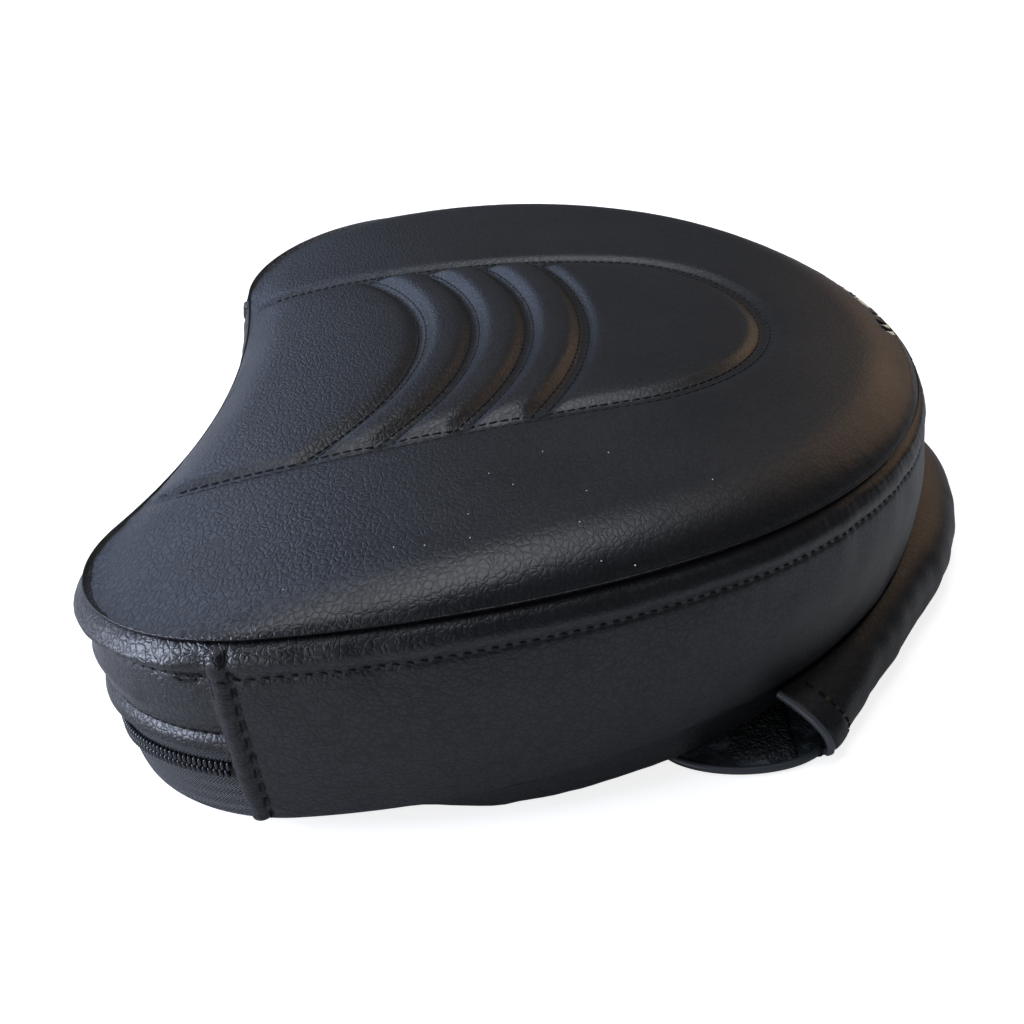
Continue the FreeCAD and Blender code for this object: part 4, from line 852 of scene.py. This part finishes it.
# Back panel: flat over the board at the zip end, then puffed out to rest on the table, gathered at its seam
FLAT_END, PUFF_START, LEVEL_START = 74, 99, 105
PUFF_RISE = 668
BACK_ROLL = 11
BACK_RINGS = [8.6, 7.2, 5.9, 4.7, 3.6, 2.7, 1.9]
BACK_TUCK = [(-1.3, 0.0), (-1.1, 0.35), (-2.2, 0.6)]

# Holes for the bracket's screws, each with a ring of cover drawn to its edge
HOLES = [(30 + 40 * i, 20 * side) for i in (0, 1) for side in (-1, 1)]
HOLE_GONE, HOLE_EDGE, HOLE_REACH = 4.2, 5.0, 6.0


def ground(x):
    """How far the table is below the back seam."""
    return x * math.tan(TILT)


def back_height(x, y, d, s):
    """Height of the back panel, never below the table."""
    rise = step(x, FLAT_END, PUFF_START) * ground(np.minimum(x, LEVEL_START))
    deep = rise + ground(np.maximum(x, LEVEL_START)) - ground(LEVEL_START)
    deep = deep - np.maximum(x - LEVEL_START, 0)**2 / PUFF_RISE + 0.3
    edge = np.sqrt(1 - (1 - np.clip(d / BACK_ROLL, 0, 1))**2)
    folds = 0
    if s is not None:
        folds = 0.8 * gathers(s, 31, 7.0) * np.exp(-d / 6) * step(d, 0.2, 3) * step(x, 60, 95)
    folds = folds + 0.3 * soft_noise(x / 22, y / 22, 0, 32)
    return np.maximum(-WALL - np.maximum(deep, 0) * edge - folds * step(d, 0, 4), -WALL - ground(x) + 0.05)


rim = [(out, lambda s, y, above=above: np.full_like(s, above - WALL)) for out, above in BACK_TUCK]
points, faces = plate(170, 110, PANEL_EDGE, BACK_RINGS, back_height, rim)
gone = np.zeros(len(points), bool)
for hole_x, hole_y in HOLES:
    reach = np.hypot(points[:, 0] - hole_x, points[:, 1] - hole_y)
    gone |= reach < HOLE_GONE
    close = (reach >= HOLE_GONE) & (reach < HOLE_REACH) & (points[:, 2] < -WALL + 1)
    pull = np.where(close, HOLE_EDGE / np.maximum(reach, 1), 1)
    points[:, 0] = hole_x + (points[:, 0] - hole_x) * pull
    points[:, 1] = hole_y + (points[:, 1] - hole_y) * pull
faces = faces[~gone[faces].any(1)]
back_cover = new_object("back_cover", pad_to_row(points), faces[:, ::-1], [BLACK_VINYL])
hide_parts("back_panel")


def thicken(piece, name, thickness):
    """Gives a sheet its thickness, on its inner side."""
    modifier = piece.modifiers.new(name, "SOLIDIFY")
    modifier.thickness = thickness
    modifier.offset = -1
    return modifier


thicken(back_cover, "vinyl_thickness", 0.0012)

# Rear flap: sewn round the dome, folded under, with open ends. It reaches SWEEP degrees to each side at the
# seam, FOLD_SWEEP at the fold, and FLAP_HALF at its free edge
SWEEP, FOLD_SWEEP = 54.0, 50.5
FLAP_HALF = 126.0
FLAP_X = DOME_X * math.cos(TILT)
FLAP_SEAM = 138.4

# Outer edge of the fold, by the angle about the dome's centre
REACH_TURNS = [-60, -54, -50, -46, -39, -33, -26, -19, -10, -4, 3, 10, 20, 35, 46, 54, 60]
REACHES = [153, 153, 152, 149.4, 146, 145.6, 146.4, 149.6, 153.3, 156, 159.6, 160.5, 157, 153, 151, 154, 154]

# The stitches' distance from the flap's open ends, and millimetres per degree of its sweep
FLAP_HEM, PER_DEGREE = 8.5, 2.6


def flap_reach(turn):
    """Outer edge of the fold at an angle, smoothed over a few degrees."""
    before, here, after = (np.interp(turn + shift, REACH_TURNS, REACHES) for shift in (-2.5, 0, 2.5))
    return 0.25 * (before + 2 * here + after)


def flap_section(turn, v):
    """Radius and height of the folded sheet: v from 0 at the seam to 1 at the fold on the table."""
    out = flap_reach(turn)
    rad = np.radians(turn)
    seam_x = DOME_X + FLAP_SEAM * np.cos(rad)
    start = np.hypot(seam_x * math.cos(TILT) - FLAP_X, FLAP_SEAM * np.sin(rad))
    top = seam_x * math.sin(TILT) - 0.2
    slack = step(np.abs(turn), 40, SWEEP)
    controls = [
        (start, top),
        (out - 4 - 5 * slack, top - 0.5 - 1.5 * slack),
        (out + 2.5 - 0.5 * slack, 0.8 * top),
        (out + 2.0, 0.45 * top),
        (out + 0.5, -0.2),
        (out - 4, 0.2),
    ]
    r, z = 0, 0
    for k, (control_r, control_z) in enumerate(controls):
        share = math.comb(5, k) * v**k * (1 - v)**(5 - k)
        r, z = r + share * control_r, z + share * control_z
    return r, z


def flap_upper(f, v):
    """Point of the upper layer: f from -1 to 1 along the seam, v from the seam to the fold."""
    turn = f * (SWEEP + (FOLD_SWEEP - SWEEP) * v)
    r, z = flap_section(turn, v)
    creases = 0.5 * soft_noise(turn / 5, v * 1.6, 0, 41) + 0.3 * soft_noise(turn / 2.2, v * 3, 0, 42)
    edge = (1 - np.abs(f)) * SWEEP * PER_DEGREE
    hem = 0.9 * (1 - step(edge, 8.0, 9.5)) * step(edge, 0, 2) - 0.45 * ridge(edge, FLAP_HEM, 0.8)
    r = r + creases * np.sin(math.pi * v) + hem * step(v, 0.0, 0.2)
    rad = np.radians(turn)
    return np.stack([FLAP_X + r * np.cos(rad), r * np.sin(rad), np.maximum(z, 0.05)], -1)


def flap_lower(f, w):
    """Point of the lower layer: w from the fold to the free edge."""
    fold = flap_upper(f, np.ones_like(w))
    y = f * (FLAP_HALF - 9 * np.abs(f)**6)
    free = np.stack([FLAP_END - 17 * step(np.abs(y), 98, 120), y, 0.1 + 0 * y], -1)
    place = fold * (1 - w[..., None]) + free * w[..., None]
    place[..., 1] += np.sign(f) * (4 * w * (1 - w))**0.6 * 8.5 * np.abs(f)**9
    place[..., 2] += (0.15 + 0.3 * soft_noise(f * 22, w * 4, 0, 43)) * w * (1 - np.abs(f)**6) + 0.03
    return place


seam_share, fold_share = np.linspace(0, 1, 34), np.linspace(0, 1, 26)[1:]
along = np.sin(np.linspace(-1, 1, 241) * math.pi / 2 * 0.999) / math.sin(math.pi / 2 * 0.999)
upper_layer = flap_upper(*np.meshgrid(along, seam_share, indexing="ij"))
lower_layer = flap_lower(*np.meshgrid(along, fold_share, indexing="ij"))
grid = np.concatenate([upper_layer, lower_layer], 1)
faces = grid_faces(*grid.shape[:2])
flap = new_object("flap", level_to_row(grid.reshape(-1, 3)), faces, [BLACK_VINYL, LINING])
thicken(flap, "vinyl_thickness", 0.0014).material_offset = 1
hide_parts("rear_flap")


def tube(name, path, radius, material, sides=8):
    """A round roll along a path given in the flap's level frame, lying on the table."""
    path = np.asarray(path, float)
    ahead = np.gradient(path, axis=0)
    ahead /= np.linalg.norm(ahead, axis=1, keepdims=True)
    side = np.cross(ahead, [0, 1, 0.2])
    side /= np.linalg.norm(side, axis=1, keepdims=True)
    other = np.cross(ahead, side)
    turns = np.arange(sides) * 2 * math.pi / sides
    cloud = path[:, None] + radius * (np.cos(turns)[None, :, None] * side[:, None]
                                      + np.sin(turns)[None, :, None] * other[:, None])
    cloud[..., 2] = np.maximum(cloud[..., 2], 0.05)
    faces = grid_faces(len(path), sides, closed=True)
    return new_object(name, level_to_row(cloud.reshape(-1, 3)), faces, [material])


# Rolled hems of the flap's open ends, with their stitches
HEM_POINTS, HEM_ROLL = 60, 1.05
flap_hems = []
for side in (-1, 1):
    edge = side * np.ones(HEM_POINTS)
    over = flap_upper(edge, np.linspace(0.03, 1, HEM_POINTS)) - [0, 0, 0.2]
    under = flap_lower(edge, np.linspace(0.02, 0.97, HEM_POINTS)) + [0, 0, 0.75]
    # each rolled hem is painted greyer, a painted sheen on the black vinyl
    flap_hems.append(tube(f"flap_hem_{side + 1}", np.concatenate([over, under]), HEM_ROLL, PAINTED_SHEEN_EDGE))
    v = np.linspace(0.1, 0.92, 9)
    f = np.full(9, side * (1 - FLAP_HEM / (SWEEP * PER_DEGREE)))
    first, after = flap_upper(f, v), flap_upper(f, v + 0.02)
    turn = np.radians(f * SWEEP)
    up = np.stack([np.cos(turn), np.sin(turn), 0.8 + 0 * turn], 1)
    flap_hems.append(capsules(f"flap_hem_stitches_{side + 1}", first + 0.25 * up, after - first, up,
                              FLAP_THREAD, THREAD, to_row=level_to_row))

# Hook strip on the flap's free edge, loop strip under the back
HOOKS_LOW, HOOKS_HIGH = (FLAP_END + 0.3, -121, 1.3), (FLAP_END + 16.8, 121, 2.6)
LOOPS_X, LOOPS_Y = (172.5, 188.5), (-77.5, 77.5)
LOOPS_GRID = (17, 140)


def bristle_strip(low, high, roughness):
    """A flat strip with a rough, soft-edged upper face, in a grid of about a millimetre."""
    nx, ny = int(high[0] - low[0]), int(high[1] - low[1])
    columns, rows = np.linspace(low[0], high[0], nx + 1), np.linspace(low[1], high[1], ny + 1)
    x, y = np.meshgrid(columns, rows, indexing="ij")
    edge = np.minimum.reduce([x - low[0], high[0] - x, y - low[1], high[1] - y])
    rough = roughness * (soft_noise(x / 1.6, y / 1.6, 0, 51) + 0.6 * soft_noise(x / 0.9, y / 0.9, 0, 52))
    top = high[2] - 0.35 + rough * step(edge, 0, 1.2) - 0.5 * (1 - step(edge, 0, 1.2))
    upper = np.stack([x, y, top], -1).reshape(-1, 3)
    lower = np.stack([x, y, np.full_like(x, low[2])], -1).reshape(-1, 3)
    faces = grid_faces(nx + 1, ny + 1, flip=True)
    numbers = np.arange(len(upper)).reshape(nx + 1, ny + 1)
    around = np.concatenate([numbers[0, :], numbers[1:, -1], numbers[-1, -2::-1], numbers[-2:0:-1, 0]])
    following, count = np.roll(around, -1), len(upper)
    walls = np.stack([around, following, following + count, around + count], 1)
    return np.concatenate([upper, lower]), np.concatenate([faces, faces[:, ::-1] + count, walls])


points, faces = bristle_strip(HOOKS_LOW, HOOKS_HIGH, 0.3)
hooks = new_object("hooks", level_to_row(points), faces, [HOOKS])
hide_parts("hook_strip")

columns, rows = np.linspace(*LOOPS_X, LOOPS_GRID[0]), np.linspace(*LOOPS_Y, LOOPS_GRID[1])
x, y = np.meshgrid(columns, rows, indexing="ij")
z = back_height(x, y, inside_by(x, y), None) - 0.9 + 0.2 * soft_noise(x / 1.5, y / 1.5, 0, 53)
points = np.stack([x, y, z], -1).reshape(-1, 3)
loops = new_object("loops", pad_to_row(points), grid_faces(*LOOPS_GRID), [LOOPS])
thicken(loops, "strip_thickness", 0.0011)
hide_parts("loop_strip")

# Specks of dust on the front
SPECKS = [(113, -85), (100, -94), (96, -113), (97, -124), (121, -121), (152, -104), (125, -131),
          (132, -134), (80, -124), (87, -125), (57, -135), (106, -101), (123, -107), (129, -88)]
SPECK_RADIUS, SPECK_SHAPE = 0.00021, (1.0, 1.3, 0.6)
bpy.ops.mesh.primitive_ico_sphere_add(subdivisions=1, radius=SPECK_RADIUS)
speck = bpy.context.object
speck.name = "dust_specks"
speck_points = np.array([v.co for v in speck.data.vertices]) * SPECK_SHAPE
speck_faces = np.array([list(p.vertices) for p in speck.data.polygons])
bpy.data.objects.remove(speck)
x, y = np.array(SPECKS, float).T
centres = pad_to_row(np.stack([x, y, face_height(x, y, inside_by(x, y)) + 0.1], 1))
points = np.concatenate([speck_points + centre for centre in centres])
faces = np.concatenate([speck_faces + k * len(speck_points) for k in range(len(SPECKS))])
dust = new_object("dust_specks", points, faces, [DUST])

# CAD pieces that stay: give each its finish
finishes = {"zip_slider": BLACK_METAL, "zip_puller": BLACK_METAL, "backing_board": PLYWOOD,
            "threaded_inserts": ZINC, "foam_core": FOAM, "back_foam": FOAM, "quilting_foam": FOAM}
for name, material in finishes.items():
    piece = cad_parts[name]
    piece.data.materials.clear()
    piece.data.materials.append(material)

# Every new piece, grouped by slot, rides on the pad
slots = {
    "vinyl": [face_cover, side_cover, zip_strip, back_cover, flap, dust, flap_hems[0], flap_hems[2]],
    "zip_cloth": [upper_tape, lower_tape, topstitch, lower_topstitch, near_hem_stitches, far_hem_stitches,
                  back_tack, *tongue_stitches, *rib_stitches, flap_hems[1], flap_hems[3]],
    "zip_coil": [upper_coil, lower_coil],
    "hook_and_loop": [hooks, loops],
}
for slot, pieces in slots.items():
    for piece in pieces:
        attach(piece, "pad")

# White table: it keeps the pad's shadow, and fades to white away from the pad
TABLE_SIZE, TABLE_BELOW = 6.0, 0.0006
FADE_START, FADE_END = 0.35, 1.2
table_material, tree, bsdf = shader("white_table")
fill(tree, bsdf, {"Base Color": linear("#cecece"), "Roughness": 0.9, "Specular IOR Level": 0.1})
spot = node(tree, "TexCoord").outputs["Object"]
away = node(tree, "VectorMath", {0: spot}, operation="LENGTH").outputs["Value"]
white_out = ranged(tree, away, (FADE_START, FADE_END), (0.8, 1.0))
lift = node(tree, "Emission", {"Color": linear("#ffffff"), "Strength": white_out})
path = node(tree, "LightPath")
both = node(tree, "AddShader", {0: bsdf.outputs[0], 1: lift.outputs[0]})
pick = node(tree, "MixShader", {0: path.outputs["Is Camera Ray"], 1: bsdf.outputs[0], 2: both.outputs[0]})
fill(tree, tree.get_output_node("ALL"), {0: pick.outputs[0]})
bpy.ops.mesh.primitive_plane_add(size=TABLE_SIZE, location=(0, 0, -TABLE_BELOW))
table = bpy.context.object
table.name = "table"
table.data.materials.append(table_material)

# World: white to the camera, a dim cool room to everything else
ROOM_LIGHT = 0.13
world = bpy.data.worlds.new("studio")
bpy.context.scene.world = world
world.use_nodes = True
tree = world.node_tree
tree.nodes.clear()
path = node(tree, "LightPath")
seen = arithmetic(tree, "MAXIMUM", path.outputs["Is Camera Ray"], path.outputs["Is Transmission Ray"])
dim = node(tree, "Background", {"Color": linear("#edf3ff"), "Strength": ROOM_LIGHT})
white = node(tree, "Background", {"Color": linear("#ffffff"), "Strength": 1.0})
pick = node(tree, "MixShader", {0: seen, 1: dim.outputs[0], 2: white.outputs[0]})
node(tree, "OutputWorld", {0: pick.outputs[0]})

# Soft lamps: name, place, what it points at, width and height, power and colour
ORIGIN, PAD_MIDDLE, ZIP_SIDE = (0, 0, 0), (0, 0, 0.03), (-0.05, 0, 0.03)
LAMPS = [
    ("ceiling", (-0.2, 0.15, 1.2), ORIGIN, (1.1, 0.8), 10, "#f2f6ff"),
    ("window", (-1.05, 0.85, 0.62), ZIP_SIDE, (1.1, 0.8), 5.5, "#c4d8ff"),
    ("side_window", (-1.25, -0.32, 0.42), ZIP_SIDE, (0.7, 0.6), 27, "#dce6ff"),
    ("room", (0.95, 1.1, 0.65), PAD_MIDDLE, (0.8, 0.6), 1.6, "#ffd0a0"),
    ("fill", (-0.75, -1.3, 0.45), PAD_MIDDLE, (0.8, 0.6), 4.5, "#e4eaf4"),
]


def aim_at(obj, place, target):
    """Puts a lamp or camera at a place, turned to a target and level."""
    obj.location = place
    obj.rotation_euler = (Vector(target) - Vector(place)).to_track_quat("-Z", "Y").to_euler()
    bpy.context.scene.collection.objects.link(obj)


for name, place, target, size, power, colour in LAMPS:
    lamp = bpy.data.lights.new(name, "AREA")
    lamp.shape = "RECTANGLE"
    lamp.size, lamp.size_y = size
    lamp.energy = power
    lamp.color = linear(colour)[:3]
    aim_at(bpy.data.objects.new(name, lamp), place, target)

# Camera, level, as the photo was taken: place and direction in the pad's frame, focal length in pixels
EYE = (123.1, -346.35, 153.66)
LOOK = (-0.0637, 0.8622, -0.5026)
LOOK_DISTANCE = 300
SENSOR, PHOTO_WIDTH, FOCAL = 36, 1024, 1200
eye, target = pad_to_row([EYE, np.array(EYE) + LOOK_DISTANCE * np.array(LOOK)])
camera_data = bpy.data.cameras.new("camera")
camera_data.sensor_width = SENSOR
camera_data.lens = SENSOR * FOCAL / PHOTO_WIDTH
camera_data.clip_start = 0.01
camera = bpy.data.objects.new("camera", camera_data)
aim_at(camera, eye, target)
bpy.context.scene.camera = camera
bpy.context.scene.view_settings.view_transform = "Standard"
